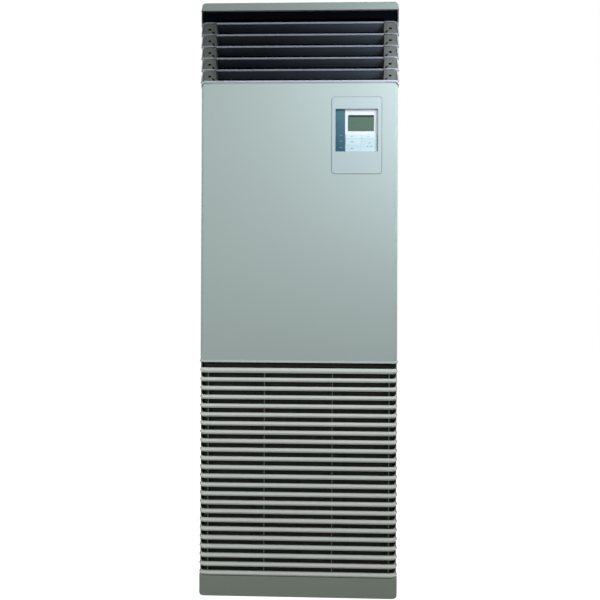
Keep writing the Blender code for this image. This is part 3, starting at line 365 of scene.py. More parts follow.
filter_frame_plastic = finish_from(
    "filter_frame_plastic", plastic_effect,
    {"Plastic": (0.032, 0.032, 0.030, 1.0), "Drift": 0.08, "Gloss Low": 0.5, "Gloss High": 0.65,
     "Grain Scale": 1100.0, "Dust": 0.5}, height="Grain", bump=0.1, distance=0.0004)
dress("filter_frame", filter_frame_plastic)
filter_net = finish_from(
    "filter_net", net_weave(), {"Thread": (0.055, 0.055, 0.050, 1.0), "Pitch": 0.0016, "Lint": 0.15},
    height="Weave", bump=0.6, distance=0.0005)
dress("filter_mesh", filter_net)


# Cabinet sheets.
# Side sheets are folded zinc-coated steel in pale grey powder paint. The back is the
# same steel left bare, stiffened by pressed swages and held by pan head screws.

def zinc_spangle():
    """Zinc-coated sheet: soft crystal flakes, roller grain and a dull bloom."""
    group, start, end = effect("zinc_spangle", (
        ("Metal", "INPUT", "colour", (0.55, 0.57, 0.58, 1.0)), ("Flake", "INPUT", "value", 60.0),
        ("Bloom", "INPUT", "value", 0.3), ("Colour", "OUTPUT", "colour", None),
        ("Roughness", "OUTPUT", "value", None), ("Relief", "OUTPUT", "value", None)))
    place = place_in(group)[0]
    crystals = group.nodes.new("ShaderNodeTexVoronoi")
    group.links.new(place, crystals.inputs["Vector"])
    group.links.new(start.outputs["Flake"], crystals.inputs["Scale"])
    flake = group.nodes.new("ShaderNodeSeparateColor")
    group.links.new(crystals.outputs["Color"], flake.inputs["Color"])
    toned = scaled_in(group, start.outputs["Metal"], spread_in(group, flake.outputs["Red"], 0.90, 1.08))
    bloom_place = noise_in(group, place, 5.0, 6.0, 0.65)
    bloom = sum_in(group, "MULTIPLY", spread_in(group, bloom_place, 0.0, 1.0, 0.45, 0.75),
                   start.outputs["Bloom"])
    colour = tint_in(group, bloom, toned, (0.62, 0.63, 0.64, 1.0))
    rough = spread_in(group, flake.outputs["Green"], 0.34, 0.46)
    rough = sum_in(group, "ADD", rough, sum_in(group, "MULTIPLY", bloom, 0.5))
    group.links.new(colour, end.inputs["Colour"])
    group.links.new(rough, end.inputs["Roughness"])
    group.links.new(noise_in(group, place, 500.0, 2.0), end.inputs["Relief"])
    return group


cabinet_paint = finish_from(
    "cabinet_paint", paint_effect,
    {"Paint": (0.400, 0.465, 0.455, 1.0), "Drift": 0.02, "Gloss Low": 0.30, "Gloss High": 0.42,
     "Dust": 0.25}, height="Peel", bump=0.035)
for sheet in ("left_side_panel", "right_side_panel", "pipe_blank_left", "pipe_blank_right"):
    dress(sheet, cabinet_paint)
zinc_sheet = finish_from(
    "zinc_sheet", zinc_spangle(), {"Metal": (0.50, 0.52, 0.53, 1.0), "Flake": 75.0, "Bloom": 0.35},
    height="Relief", bump=0.05, Metallic=0.85)
dress("back_panel", zinc_sheet)


def pan_head(mesh, centre, facing, radius=0.0042):
    """Add a pan head screw with a cross recess, whose head faces along an axis."""
    turn = Vector((0.0, 0.0, 1.0)).rotation_difference(Vector(facing)).to_matrix()
    steps = 24
    star = [1.0, 0.55, 0.42, 0.55, 1.0, 0.95] * 4
    rings = []
    for out, height, recess in ((1.0, 0.0, 0), (1.0, 0.28, 0), (0.93, 0.44, 0), (0.72, 0.56, 0),
                                (0.50, 0.60, 1), (0.44, 0.22, 1)):
        ring = []
        for step in range(steps):
            angle = 2.0 * math.pi * step / steps
            reach = radius * out * (star[step] if recess else 1.0)
            spot = Vector((reach * math.cos(angle), reach * math.sin(angle), radius * height))
            ring.append(mesh.verts.new(turn @ spot + Vector(centre)))
        rings.append(ring)
    for lower, upper in zip(rings, rings[1:]):
        for step in range(steps):
            after = (step + 1) % steps
            mesh.faces.new((lower[step], lower[after], upper[after], upper[step]))
    mesh.faces.new(list(reversed(rings[0])))
    mesh.faces.new(rings[-1])


def add_piece(name, mesh, material, body="cabinet"):
    """Turn a mesh into a named piece that rides on a body."""
    bmesh.ops.recalc_face_normals(mesh, faces=mesh.faces)
    data = bpy.data.meshes.new(name)
    mesh.to_mesh(data)
    mesh.free()
    data.shade_smooth()
    data.set_sharp_from_angle(angle=crisp_angle)
    data.materials.append(material)
    piece = bpy.data.objects.new(name, data)
    bpy.context.scene.collection.objects.link(piece)
    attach(piece, body)


screw_zinc = finish_from(
    "screw_zinc", bpy.data.node_groups["zinc_spangle"],
    {"Metal": (0.62, 0.62, 0.60, 1.0), "Flake": 600.0, "Bloom": 0.2}, height="Relief",
    bump=0.03, Metallic=0.95)
low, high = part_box("back_panel")
rim = 0.012
across = [low.x + rim, low.x / 2, 0.0, high.x / 2, high.x - rim]
levels = [low.z + rim + (high.z - low.z - 2 * rim) * step / 5 for step in range(6)]
back_screws = bmesh.new()
for level in levels:
    for x in (across if level in (levels[0], levels[-1]) else (across[0], across[-1])):
        pan_head(back_screws, (x, high.y, level), (0.0, 1.0, 0.0))
add_piece("back_panel_screws", back_screws, screw_zinc)

low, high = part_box("right_side_panel")
side_screws = bmesh.new()
for side in (-1.0, 1.0):
    for y, level in ((low.y + 0.030, low.z + 0.016), (high.y - 0.030, low.z + 0.016)):
        pan_head(side_screws, (side * high.x, y, level), (side, 0.0, 0.0))
add_piece("side_panel_screws", side_screws, screw_zinc)


# Front panel.
# A deep folded sheet steel panel in pale grey powder paint, with a rolled lip along its
# lower edge that hides the joint to the grille. It hooks on and is screwed from inside.

panel_paint = finish_from(
    "panel_paint", paint_effect,
    {"Drift": 0.015, "Gloss Low": 0.34, "Gloss High": 0.42,
     "Dust": 0.2}, height="Peel", bump=0.03, Specular_IOR_Level=0.12)


def painted_lip_highlight():
    """Panel colour with a painted highlight on the rolled lip along its lower edge, where light from above
    catches it.
    """
    group, start, end = effect("painted_lip_highlight", (
        ("Panel", "INPUT", "colour", (0.4, 0.4, 0.4, 1.0)),
        ("Lip Highlight", "INPUT", "colour", (0.5, 0.5, 0.5, 1.0)),
        ("Level", "INPUT", "value", 0.0), ("Colour", "OUTPUT", "colour", None)))
    above = sum_in(group, "SUBTRACT", place_in(group)[3], start.outputs["Level"])
    share = spread_in(group, above, 1.0, 0.0, 0.0, 0.0008)
    group.links.new(tint_in(group, share, start.outputs["Panel"], start.outputs["Lip Highlight"]),
                    end.inputs["Colour"])
    return group


lip_height = 0.0062
# The lip's face is painted lighter than the panel: a painted highlight.
colour_from(panel_paint, painted_lip_highlight(), {
    "Panel": (0.400, 0.465, 0.455, 1.0), "Lip Highlight": (0.530, 0.610, 0.600, 1.0),
    "Level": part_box("front_panel")[0].z + lip_height})
dress("front_panel", panel_paint)


# Control cover.
# A shallow moulded plate, colour matched to the panel, that snaps into the panel's
# rounded hole. Its square window leaves the wired controller's face open to the hand.

cover_plastic = finish_from(
    "cover_plastic", plastic_effect,
    {"Drift": 0.012, "Gloss Low": 0.34, "Gloss High": 0.42,
     "Grain Scale": 1800.0, "Dust": 0.1}, height="Grain", bump=0.03, distance=0.0003,
    Specular_IOR_Level=0.12)


def framed_plate():
    """Cover colours: a dark line in the seam round its edge, and painted light on the shaded walls inside
    the window.
    """
    group, start, end = effect("framed_plate", (
        ("Plate", "INPUT", "colour", (0.5, 0.5, 0.5, 1.0)),
        ("Seam", "INPUT", "colour", (0.1, 0.1, 0.1, 1.0)),
        ("Lit Walls", "INPUT", "colour", (0.6, 0.6, 0.6, 1.0)), ("Middle X", "INPUT", "value", 0.0),
        ("Middle Z", "INPUT", "value", 0.0), ("Half Width", "INPUT", "value", 0.1),
        ("Half Height", "INPUT", "value", 0.1), ("Corner", "INPUT", "value", 0.009),
        ("Line", "INPUT", "value", 0.001), ("Front", "INPUT", "value", 0.0),
        ("Colour", "OUTPUT", "colour", None)))
    place, across, back, up = place_in(group)
    reach = []
    for along, middle, half in ((across, "Middle X", "Half Width"), (up, "Middle Z", "Half Height")):
        off = sum_in(group, "SUBTRACT", along, start.outputs[middle])
        off = sum_in(group, "ADD", sum_in(group, "ABSOLUTE", off, 0.0), start.outputs["Corner"])
        off = sum_in(group, "MAXIMUM", sum_in(group, "SUBTRACT", off, start.outputs[half]), 0.0)
        reach.append(sum_in(group, "MULTIPLY", off, off))
    out = sum_in(group, "SQRT", sum_in(group, "ADD", reach[0], reach[1]), 0.0)
    inside = sum_in(group, "SUBTRACT", start.outputs["Corner"], out)
    seam = spread_in(group, sum_in(group, "SUBTRACT", start.outputs["Line"], inside),
                     0.0, 1.0, 0.0, 0.0002)
    # The walls behind the plate's face, in shade inside the window, are painted paler: painted light.
    deep = spread_in(group, sum_in(group, "SUBTRACT", back, start.outputs["Front"]),
                     0.0, 1.0, 0.0008, 0.0014)
    colour = tint_in(group, deep, start.outputs["Plate"], start.outputs["Lit Walls"])
    colour = tint_in(group, seam, colour, start.outputs["Seam"])
    group.links.new(colour, end.inputs["Colour"])
    return group


low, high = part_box("control_cover")
colour_from(cover_plastic, framed_plate(), {
    "Plate": (0.402, 0.472, 0.482, 1.0), "Seam": (0.175, 0.200, 0.215, 1.0),
    "Lit Walls": (0.560, 0.650, 0.720, 1.0), "Middle X": (low.x + high.x) / 2, "Middle Z": (low.z + high.z) / 2,
    "Half Width": (high.x - low.x) / 2, "Half Height": (high.z - low.z) / 2, "Corner": 0.009,
    "Line": 0.0012, "Front": low.y})
dress("control_cover", cover_plastic)


# Wired controller.
# A white ABS case clipped to a back plate, with a slate blue strip down its left side, a
# grey-green liquid crystal display and five light keys that carry small printed marks.

controller_white = finish_from(
    "controller_white", plastic_effect,
    {"Plastic": (0.670, 0.700, 0.725, 1.0), "Drift": 0.01, "Gloss Low": 0.28, "Gloss High": 0.36,
     "Grain Scale": 2400.0, "Dust": 0.08}, height="Grain", bump=0.03, distance=0.0002)
dress("controller_body", controller_white)
# The five keys are one plastic, given a tone each, lighter for the top keys and darker low down: painted
# light and shade.
for key, tone in (("key_top_left", (0.560, 0.665, 0.690)), ("key_top_right", (0.560, 0.665, 0.690)),
                  ("key_mid_left", (0.510, 0.630, 0.665)), ("key_low_left", (0.455, 0.575, 0.615)),
                  ("key_on_off", (0.475, 0.585, 0.625))):
    dress(key, finish_from(
        key + "_plastic", plastic_effect,
        {"Plastic": (*tone, 1.0), "Drift": 0.015, "Gloss Low": 0.34, "Gloss High": 0.44,
         "Grain Scale": 2600.0, "Dust": 0.05}, height="Grain", bump=0.03, distance=0.0002))
strip_plastic = finish_from(
    "strip_plastic", plastic_effect,
    {"Drift": 0.03, "Gloss Low": 0.24, "Gloss High": 0.34,
     "Grain Scale": 2400.0, "Dust": 0.05}, height="Grain", bump=0.02, distance=0.0002)


def fade_down():
    """A tone that deepens from one level down to another."""
    group, start, end = effect("fade_down", (
        ("Upper", "INPUT", "colour", (0.2, 0.2, 0.2, 1.0)),
        ("Lower", "INPUT", "colour", (0.1, 0.1, 0.1, 1.0)),
        ("Top", "INPUT", "value", 1.0), ("Foot", "INPUT", "value", 0.0),
        ("Colour", "OUTPUT", "colour", None)))
    share = spread_in(group, place_in(group)[3], 1.0, 0.0, start.outputs["Foot"], start.outputs["Top"])
    group.links.new(tint_in(group, share, start.outputs["Upper"], start.outputs["Lower"]),
                    end.inputs["Colour"])
    return group


low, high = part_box("indicator_strip")
colour_from(strip_plastic, fade_down(), {
    "Upper": (0.068, 0.152, 0.184, 1.0), "Lower": (0.028, 0.084, 0.118, 1.0),
    "Top": high.z, "Foot": low.z})
dress("indicator_strip", strip_plastic)


def crystal_display():
    """Reflective display: grey-green ground with faint dead segments in rows."""
    group, start, end = effect("crystal_display", (
        ("Ground", "INPUT", "colour", (0.15, 0.21, 0.17, 1.0)), ("Segment", "INPUT", "value", 0.12),
        ("Colour", "OUTPUT", "colour", None), ("Roughness", "OUTPUT", "value", None),
        ("Relief", "OUTPUT", "value", None)))
    place, across, back, up = place_in(group)
    cloud = spread_in(group, noise_in(group, place, 30.0, 2.0), 0.94, 1.06)
    brick = group.nodes.new("ShaderNodeTexBrick")
    brick.offset = 0.0
    brick.inputs["Scale"].default_value = 90.0
    brick.inputs["Mortar Size"].default_value = 0.16
    brick.inputs["Color1"].default_value = (1.0, 1.0, 1.0, 1.0)
    brick.inputs["Color2"].default_value = (0.6, 0.6, 0.6, 1.0)
    brick.inputs["Mortar"].default_value = (0.0, 0.0, 0.0, 1.0)
    flat = group.nodes.new("ShaderNodeCombineXYZ")
    group.links.new(across, flat.inputs["X"])
    group.links.new(up, flat.inputs["Y"])
    group.links.new(flat.outputs["Vector"], brick.inputs["Vector"])
    grey = group.nodes.new("ShaderNodeSeparateColor")
    group.links.new(brick.outputs["Color"], grey.inputs["Color"])
    dead = sum_in(group, "MULTIPLY", grey.outputs["Red"], start.outputs["Segment"])
    colour = tint_in(group, dead, scaled_in(group, start.outputs["Ground"], cloud),
                     (0.05, 0.07, 0.06, 1.0))
    group.links.new(colour, end.inputs["Colour"])
    group.links.new(spread_in(group, noise_in(group, place, 60.0, 3.0), 0.14, 0.22),
                    end.inputs["Roughness"])
    group.links.new(cloud, end.inputs["Relief"])
    return group


display_glass = finish_from(
    "display_glass", crystal_display(), {"Ground": (0.080, 0.135, 0.100, 1.0), "Segment": 0.10},
    height="Relief", bump=0.01, Coat_Weight=0.25, Coat_Roughness=0.12)
dress("display", display_glass)

# Printed marks on the keys and the strip, and a dark band over the display's top that is a painted shadow
# of the window's top edge.
mark_ink = finish_from(
    "mark_ink", plastic_effect,
    {"Plastic": (0.190, 0.290, 0.330, 1.0), "Drift": 0.05, "Gloss Low": 0.4, "Gloss High": 0.5,
     "Grain Scale": 2400.0, "Dust": 0.0}, height="Grain", bump=0.02, distance=0.0002)
pale_ink = finish_from(
    "pale_ink", plastic_effect,
    {"Plastic": (0.105, 0.195, 0.240, 1.0), "Drift": 0.03, "Gloss Low": 0.4, "Gloss High": 0.5,
     "Grain Scale": 2400.0, "Dust": 0.0}, height="Grain", bump=0.02, distance=0.0002)


def print_shape(mesh, points, face, thickness=0.00025):
    """Add a thin printed shape, an outline in the face's plane, just proud of it."""
    front = [mesh.verts.new((x, face - thickness, z)) for x, z in points]
    back = [mesh.verts.new((x, face + thickness / 5, z)) for x, z in points]
    count = len(points)
    for index in range(count):
        after = (index + 1) % count
        mesh.faces.new((front[index], front[after], back[after], back[index]))
    mesh.faces.new(list(reversed(front)))
    mesh.faces.new(back)


def bar_shape(x, z, width, height):
    """Four corners of a bar about its middle."""
    return [(x - width / 2, z - height / 2), (x + width / 2, z - height / 2),
            (x + width / 2, z + height / 2), (x - width / 2, z + height / 2)]


def key_middle(node):
    """Middle of a key and the plane of its face."""
    low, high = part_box(node)
    return (low.x + high.x) / 2, (low.z + high.z) / 2, low.y


# The pale rubber mat that shows in the narrow gaps between the keys.
case_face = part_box("display")[1].y
first_low, first_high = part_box("key_low_left")
wide_low, wide_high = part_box("key_on_off")
upper_low, upper_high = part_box("key_mid_left")
top_low, top_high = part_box("key_top_left")
mat_back = case_face - 0.0002
mat_thickness = mat_back - (first_low.y + 0.0005)
mat_slack = 0.0001
webs = bmesh.new()
for left, right, foot, head in (
        (first_high.x, wide_low.x, first_low.z, top_high.z),
        (first_low.x, first_high.x, first_high.z, upper_low.z),
        (first_low.x, wide_high.x, upper_high.z, top_low.z)):
    print_shape(webs, bar_shape((left + right) / 2, (foot + head) / 2, right - left - mat_slack,
                                head - foot - mat_slack), mat_back, mat_thickness)
mat_rubber = finish_from(
    "mat_rubber", plastic_effect,
    {"Plastic": (0.480, 0.620, 0.660, 1.0), "Drift": 0.03, "Gloss Low": 0.5, "Gloss High": 0.6,
     "Grain Scale": 2400.0, "Dust": 0.05}, height="Grain", bump=0.03, distance=0.0002)
add_piece("key_mat", webs, mat_rubber)

# The marks: one dash on a plain key, and a triangle over two dashes on the large one.
marks = bmesh.new()
mark_shift = 0.004
for key, width, height in (("key_mid_left", 0.010, 0.0020), ("key_low_left", 0.010, 0.0020),
                           ("key_top_left", 0.0075, 0.0012), ("key_top_right", 0.0075, 0.0012)):
    x, z, face = key_middle(key)
    print_shape(marks, bar_shape(x - mark_shift, z, width, height), face)
x, z, face = key_middle("key_on_off")
for shift in (-0.0052, 0.0052):
    print_shape(marks, bar_shape(x + shift, z - 0.0035, 0.0055, 0.0024), face)
print_shape(marks, [(x - 0.0028, z + 0.0050), (x + 0.0028, z + 0.0050), (x, z + 0.0092)], face)
add_piece("key_marks", marks, mark_ink)

dashes = bmesh.new()
low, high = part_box("indicator_strip")
dash_middle = low.x + 0.0160
dash_width = 0.0105
dash_height = 0.0026
for drop in (0.0760, 0.0928, 0.1119):
    print_shape(dashes, bar_shape(dash_middle, high.z - drop, dash_width, dash_height), low.y)
add_piece("strip_marks", dashes, pale_ink)

# A dark band across the display's top: painted shadow under the window's top edge.
rim = bmesh.new()
low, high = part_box("display")
rim_inset = 0.001
rim_height = 0.0054
rim_middle = high.z - 0.0031
print_shape(rim, bar_shape((low.x + high.x) / 2, rim_middle, high.x - low.x - 2 * rim_inset, rim_height),
            low.y)
rim_shadow_ink = finish_from(
    "rim_shadow_ink", plastic_effect,
    {"Plastic": (0.016, 0.024, 0.026, 1.0), "Drift": 0.05, "Gloss Low": 0.4, "Gloss High": 0.5,
     "Grain Scale": 2400.0, "Dust": 0.0}, height="Grain", bump=0.02, distance=0.0002)
add_piece("display_top_shadow", rim, rim_shadow_ink)


# Outlet rail and posts.
# The rail is a bright moulding laid over the panel's top edge. The posts are stepped grey
# mouldings, one step to a louvre, screwed to the cabinet's front flanges.

rail_plastic = finish_from(
    "rail_plastic", plastic_effect,
    {"Drift": 0.02, "Gloss Low": 0.34, "Gloss High": 0.42,
     "Grain Scale": 1800.0, "Dust": 0.05}, height="Grain", bump=0.04, distance=0.0003,
    Specular_IOR_Level=0.34)
rail_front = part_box("outlet_sill")[0].y
# The rail's recessed back, in shade behind its front, is painted lighter: painted light in the seam under
# the rail.
colour_from(rail_plastic, depth_shading_effect, {
    "Face": (0.400, 0.430, 0.480, 1.0), "Inside": (0.640, 0.690, 0.720, 1.0),
    "From": rail_front + 0.0015, "To": rail_front + 0.0030})
dress("outlet_sill", rail_plastic)


# The grey foam lip that closes the seam between the rail and the panel's top edge.
panel_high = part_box("front_panel")[1]
shoulder = 0.013
shoulder_start = panel_high.x - shoulder
shoulder_level = panel_high.z - shoulder
foam_below = shoulder - 0.0002
foam_above = shoulder + 0.0038
foam_end = panel_high.x - 0.0008
foam_depth = 0.004
corner = 0.018
corner_start = cad_box[1][0] - corner
foam_round = corner - 0.0031
seam_steps = [shoulder_start * step / 4 for step in range(5)]
seam_steps += [shoulder_start + (foam_end - shoulder_start) * step / 12 for step in range(1, 13)]
seam_steps = [-x for x in reversed(seam_steps[1:])] + seam_steps
foam = bmesh.new()
loops = []
for x in seam_steps:
    beyond = max(0.0, abs(x) - shoulder_start)
    turned = max(0.0, abs(x) - corner_start)
    face = rail_front + corner - math.sqrt(max(0.0, foam_round ** 2 - turned ** 2))
    low = shoulder_level + math.sqrt(max(0.0, foam_below ** 2 - beyond ** 2))
    top = shoulder_level + math.sqrt(max(0.0, foam_above ** 2 - beyond ** 2))
    loops.append([foam.verts.new(spot) for spot in (
        (x, face, low), (x, face, top), (x, face + foam_depth, top), (x, face + foam_depth, low))])
for before, after in zip(loops, loops[1:]):
    for index in range(4):
        following = (index + 1) % 4
        foam.faces.new((before[index], before[following], after[following], after[index]))
foam.faces.new(loops[0])
foam.faces.new(list(reversed(loops[-1])))
foam_grey = finish_from(
    "foam_grey", plastic_effect,
    {"Plastic": (0.340, 0.380, 0.395, 1.0), "Drift": 0.03, "Gloss Low": 0.7, "Gloss High": 0.8,
     "Grain Scale": 900.0, "Dust": 0.1}, height="Grain", bump=0.1, distance=0.0004)
add_piece("rail_foam_lip", foam, foam_grey)


# The steps' levels and edges, taken from the noses and the posts that they belong to.
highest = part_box("louver_trim_1")[1].z
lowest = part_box("louver_trim_5")[1].z
post_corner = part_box("outlet_post_right")[0]
step_top = highest
step_pitch = (highest - lowest) / 4
step_foot = lowest - step_pitch
step_front = post_corner.y
step_inner = post_corner.x
step_side = cad_box[1][0] - 0.0045
step_lean = 0.087
step_round = 0.021
bead_width = 0.0042
inner_shade_width = 0.013


def below_step(group, level):
    """How far a level lies below the top of its step."""
    risen = sum_in(group, "MODULO", sum_in(group, "SUBTRACT", level, step_foot), step_pitch)
    return sum_in(group, "SUBTRACT", step_pitch, risen)


def painted_step_shading():
    """Post colours: a painted highlight on the bead along each step's top and side, painted shade in the
    pockets, on the strip above the top step and towards the inner edge, and painted light growing to the
    foot and on the inward faces.
    """
    group, start, end = effect("painted_step_shading", (
        ("Face", "INPUT", "colour", (0.1, 0.1, 0.1, 1.0)),
        ("Bead Highlight", "INPUT", "colour", (0.2, 0.2, 0.2, 1.0)),
        ("Hollow Shade", "INPUT", "colour", (0.01, 0.01, 0.01, 1.0)),
        ("Inner Light", "INPUT", "colour", (0.03, 0.03, 0.03, 1.0)),
        ("Top Shade", "INPUT", "value", 0.64), ("Foot Light", "INPUT", "value", 1.50),
        ("Colour", "OUTPUT", "colour", None)))
    place, sideways, depth, level = place_in(group)
    across = sum_in(group, "ABSOLUTE", sideways, 0.0)
    below = below_step(group, level)
    edge = sum_in(group, "ADD", sum_in(group, "MULTIPLY", below, step_lean), step_side)
    aside = sum_in(group, "SUBTRACT", edge, across)
    rounded = group.nodes.new("ShaderNodeMath")
    rounded.operation = "SMOOTH_MIN"
    group.links.new(below, rounded.inputs[0])
    group.links.new(aside, rounded.inputs[1])
    rounded.inputs[2].default_value = step_round
    # The bead along each step's top and side is painted lighter: a painted highlight.
    bead = spread_in(group, rounded.outputs["Value"], 1.0, 0.0, bead_width, bead_width + 0.0006)
    bead = sum_in(group, "MULTIPLY", bead, spread_in(group, depth, 1.0, 0.0, step_front + 0.004,
                                                     step_front + 0.005))
    bead = sum_in(group, "MULTIPLY", bead, spread_in(group, level, 1.0, 0.0, step_top + 0.0001,
                                                     step_top + 0.0004))
    # The pockets, and the strip above the top step, are painted dark: painted shade.
    deep = spread_in(group, depth, 0.0, 1.0, step_front + 0.0040, step_front + 0.0046)
    deep = sum_in(group, "MULTIPLY", deep,
                  spread_in(group, across, 1.0, 0.0, step_side - 0.010, step_side - 0.009))
    # The inward faces, which lie in shade, are painted lighter: painted light.
    inward_light = spread_in(group, across, 1.0, 0.0, step_inner + 0.0004, step_inner + 0.0007)
    above = spread_in(group, level, 0.0, 1.0, step_top + 0.0001, step_top + 0.0004)
    above = sum_in(group, "MULTIPLY", above,
                   spread_in(group, across, 1.0, 0.0, step_side + 0.0002, step_side + 0.0008))
    hollow_shade = sum_in(group, "MAXIMUM", deep, above)
    colour = tint_in(group, bead, start.outputs["Face"], start.outputs["Bead Highlight"])
    # The posts grow lighter from top to foot: painted light.
    colour = scaled_in(group, colour, spread_in(
        group, level, start.outputs["Foot Light"], start.outputs["Top Shade"], step_foot, step_top))
    # The face darkens towards each post's inner edge: painted shade.
    colour = scaled_in(group, colour, spread_in(
        group, across, 0.52, 1.0, step_inner, step_inner + inner_shade_width))
    colour = tint_in(group, hollow_shade, colour, start.outputs["Hollow Shade"])
    colour = tint_in(group, inward_light, colour, start.outputs["Inner Light"])
    group.links.new(colour, end.inputs["Colour"])
    return group


post_plastic = finish_from(
    "post_plastic", plastic_effect,
    {"Drift": 0.04, "Gloss Low": 0.38, "Gloss High": 0.48,
     "Grain Scale": 1300.0, "Dust": 0.1}, height="Grain", bump=0.08, distance=0.0004,
    Specular_IOR_Level=0.4)
colour_from(post_plastic, painted_step_shading(), {
    "Face": (0.058, 0.065, 0.058, 1.0), "Bead Highlight": (0.200, 0.215, 0.245, 1.0),
    "Hollow Shade": (0.006, 0.007, 0.009, 1.0), "Inner Light": (0.100, 0.108, 0.112, 1.0)})
dress("outlet_post_left", post_plastic)
dress("outlet_post_right", post_plastic)


# Louvres.
# Five pivoting louvres. Each is a charcoal blade behind a satin silver nose, which is
# pinned in the posts at both ends. They tilt together from a small motor's crank.

nose_plastic = finish_from(
    "nose_plastic", plastic_effect,
    {"Plastic": (0.186, 0.204, 0.250, 1.0), "Drift": 0.02, "Gloss Low": 0.36, "Gloss High": 0.44,
     "Grain Scale": 1800.0, "Dust": 0.05}, height="Grain", bump=0.03, distance=0.0003,
    Specular_IOR_Level=0.2)
blade_plastic = finish_from(
    "blade_plastic", plastic_effect,
    {"Drift": 0.06, "Gloss Low": 0.40, "Gloss High": 0.48,
     "Grain Scale": 1200.0, "Dust": 0.05}, height="Grain", bump=0.06, distance=0.0004,
    Specular_IOR_Level=0.31)


def painted_blade_shading():
    """Blade colours: painted light that grows towards one side, with random patches, and a darker, bluer
    painted shade low down on each step.
    """
    group, start, end = effect("painted_blade_shading", (
        ("Blade", "INPUT", "colour", (0.01, 0.01, 0.01, 1.0)),
        ("Lit Side", "INPUT", "colour", (0.04, 0.04, 0.05, 1.0)),
        ("Low", "INPUT", "colour", (0.004, 0.008, 0.016, 1.0)), ("Colour", "OUTPUT", "colour", None)))
    place, across, back, level = place_in(group)
    patchy = spread_in(group, noise_in(group, place, 12.0, 3.0, 0.6), -0.08, 0.08, 0.3, 0.7)
    # The blade lightens across towards the right: painted light.
    side_light = spread_in(group, across, 0.0, 1.0, -step_inner, step_inner)
    side_light = sum_in(group, "ADD", sum_in(group, "MULTIPLY", side_light, side_light), patchy)
    # The lower part of each blade is darker and bluer: painted shade.
    low = spread_in(group, below_step(group, level), 0.0, 1.0, 0.019, 0.025)
    colour = tint_in(group, side_light, start.outputs["Blade"], start.outputs["Lit Side"])
    dark = tint_in(group, side_light, start.outputs["Low"], start.outputs["Lit Side"])
    group.links.new(tint_in(group, low, colour, dark), end.inputs["Colour"])
    return group


colour_from(blade_plastic, painted_blade_shading(), {
    "Blade": (0.013, 0.015, 0.019, 1.0), "Lit Side": (0.055, 0.066, 0.084, 1.0),
    "Low": (0.004, 0.010, 0.020, 1.0)})
for number in range(1, 6):
    dress("louver_trim_{}".format(number), nose_plastic)
    dress("louver_{}".format(number), blade_plastic)

# A moulded end plate closes each blade at both ends, a little short of the posts.
end_plastic = finish_from(
    "end_plastic", plastic_effect,
    {"Plastic": (0.095, 0.102, 0.112, 1.0), "Drift": 0.04, "Gloss Low": 0.42, "Gloss High": 0.5,
     "Grain Scale": 1200.0, "Dust": 0.1}, height="Grain", bump=0.06, distance=0.0004,
    Specular_IOR_Level=0.27)
rest_tilt = math.radians(30.0)
nose_radius = 0.0029
end_thickness = 0.0036
end_outline = ((0.0032, 0.0013), (0.0320, 0.0001), (0.0340, -0.0007), (0.0320, -0.0016),
               (0.0032, -0.0014))
for number in range(1, 6):
    blade_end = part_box("louver_{}".format(number))[1].x
    nose_low, nose_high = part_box("louver_trim_{}".format(number))
    pivot_y = nose_low.y + nose_radius
    pivot_z = (nose_low.z + nose_high.z) / 2
    ends = bmesh.new()
    for side in (-1.0, 1.0):
        near, far = [[ends.verts.new((
            side * x, pivot_y + along * math.cos(rest_tilt) + rise * math.sin(rest_tilt),
            pivot_z - along * math.sin(rest_tilt) + rise * math.cos(rest_tilt)))
            for along, rise in end_outline] for x in (blade_end, blade_end + end_thickness)]
        for index in range(len(end_outline)):
            following = (index + 1) % len(end_outline)
            ends.faces.new((near[index], near[following], far[following], far[index]))
        ends.faces.new(near)
        ends.faces.new(list(reversed(far)))
    add_piece("louver_ends_{}".format(number), ends, end_plastic,
              body="louver_body_{}".format(number))


# Outlet recess and duct.
# Black mouldings behind the louvres: a hood over the top gap, cheeks and a curved back
# that turn the air forward, and a row of upright guide vanes on two bars.

recess_black = finish_from(
    "recess_black", plastic_effect,
    {"Plastic": (0.0008, 0.0013, 0.0024, 1.0), "Drift": 0.08, "Gloss Low": 0.30, "Gloss High": 0.42,
     "Grain Scale": 1200.0, "Dust": 0.0}, height="Grain", bump=0.05, distance=0.0004,
    Specular_IOR_Level=0.01)
for node in ("outlet_hood", "duct_left", "duct_right", "duct_back"):
    dress(node, recess_black)
vane_black = finish_from(
    "vane_black", plastic_effect,
    {"Plastic": (0.006, 0.007, 0.009, 1.0), "Drift": 0.08, "Gloss Low": 0.4, "Gloss High": 0.5,
     "Grain Scale": 1200.0, "Dust": 0.05}, height="Grain", bump=0.05, distance=0.0004,
    Specular_IOR_Level=0.05)
dress("guide_vanes", vane_black)


# Top cover.
# A shallow moulded lid in the cabinet's pale grey that caps all four sheets. It is
# pressed on from above and held by two screws at its back edge.

# The lid is coloured darker than the cabinet paint: painted shade.
lid_plastic = finish_from(
    "lid_plastic", plastic_effect,
    {"Plastic": (0.222, 0.260, 0.249, 1.0), "Drift": 0.02, "Gloss Low": 0.34, "Gloss High": 0.44,
     "Grain Scale": 1500.0, "Dust": 0.3}, height="Grain", bump=0.05, distance=0.0004)
dress("top_cover", lid_plastic)
low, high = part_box("top_cover")
lid_screws = bmesh.new()
for side in (-1.0, 1.0):
    pan_head(lid_screws, (side * 0.205, high.y, (low.z + high.z) / 2), (0.0, 1.0, 0.0))
add_piece("top_cover_screws", lid_screws, screw_zinc)


# Room, lamps and camera.
# A pale studio floor under a white surround. A soft lamp stands near the upper right
# corner of the front, a wider one at the left fills it, and two light the back and sides.

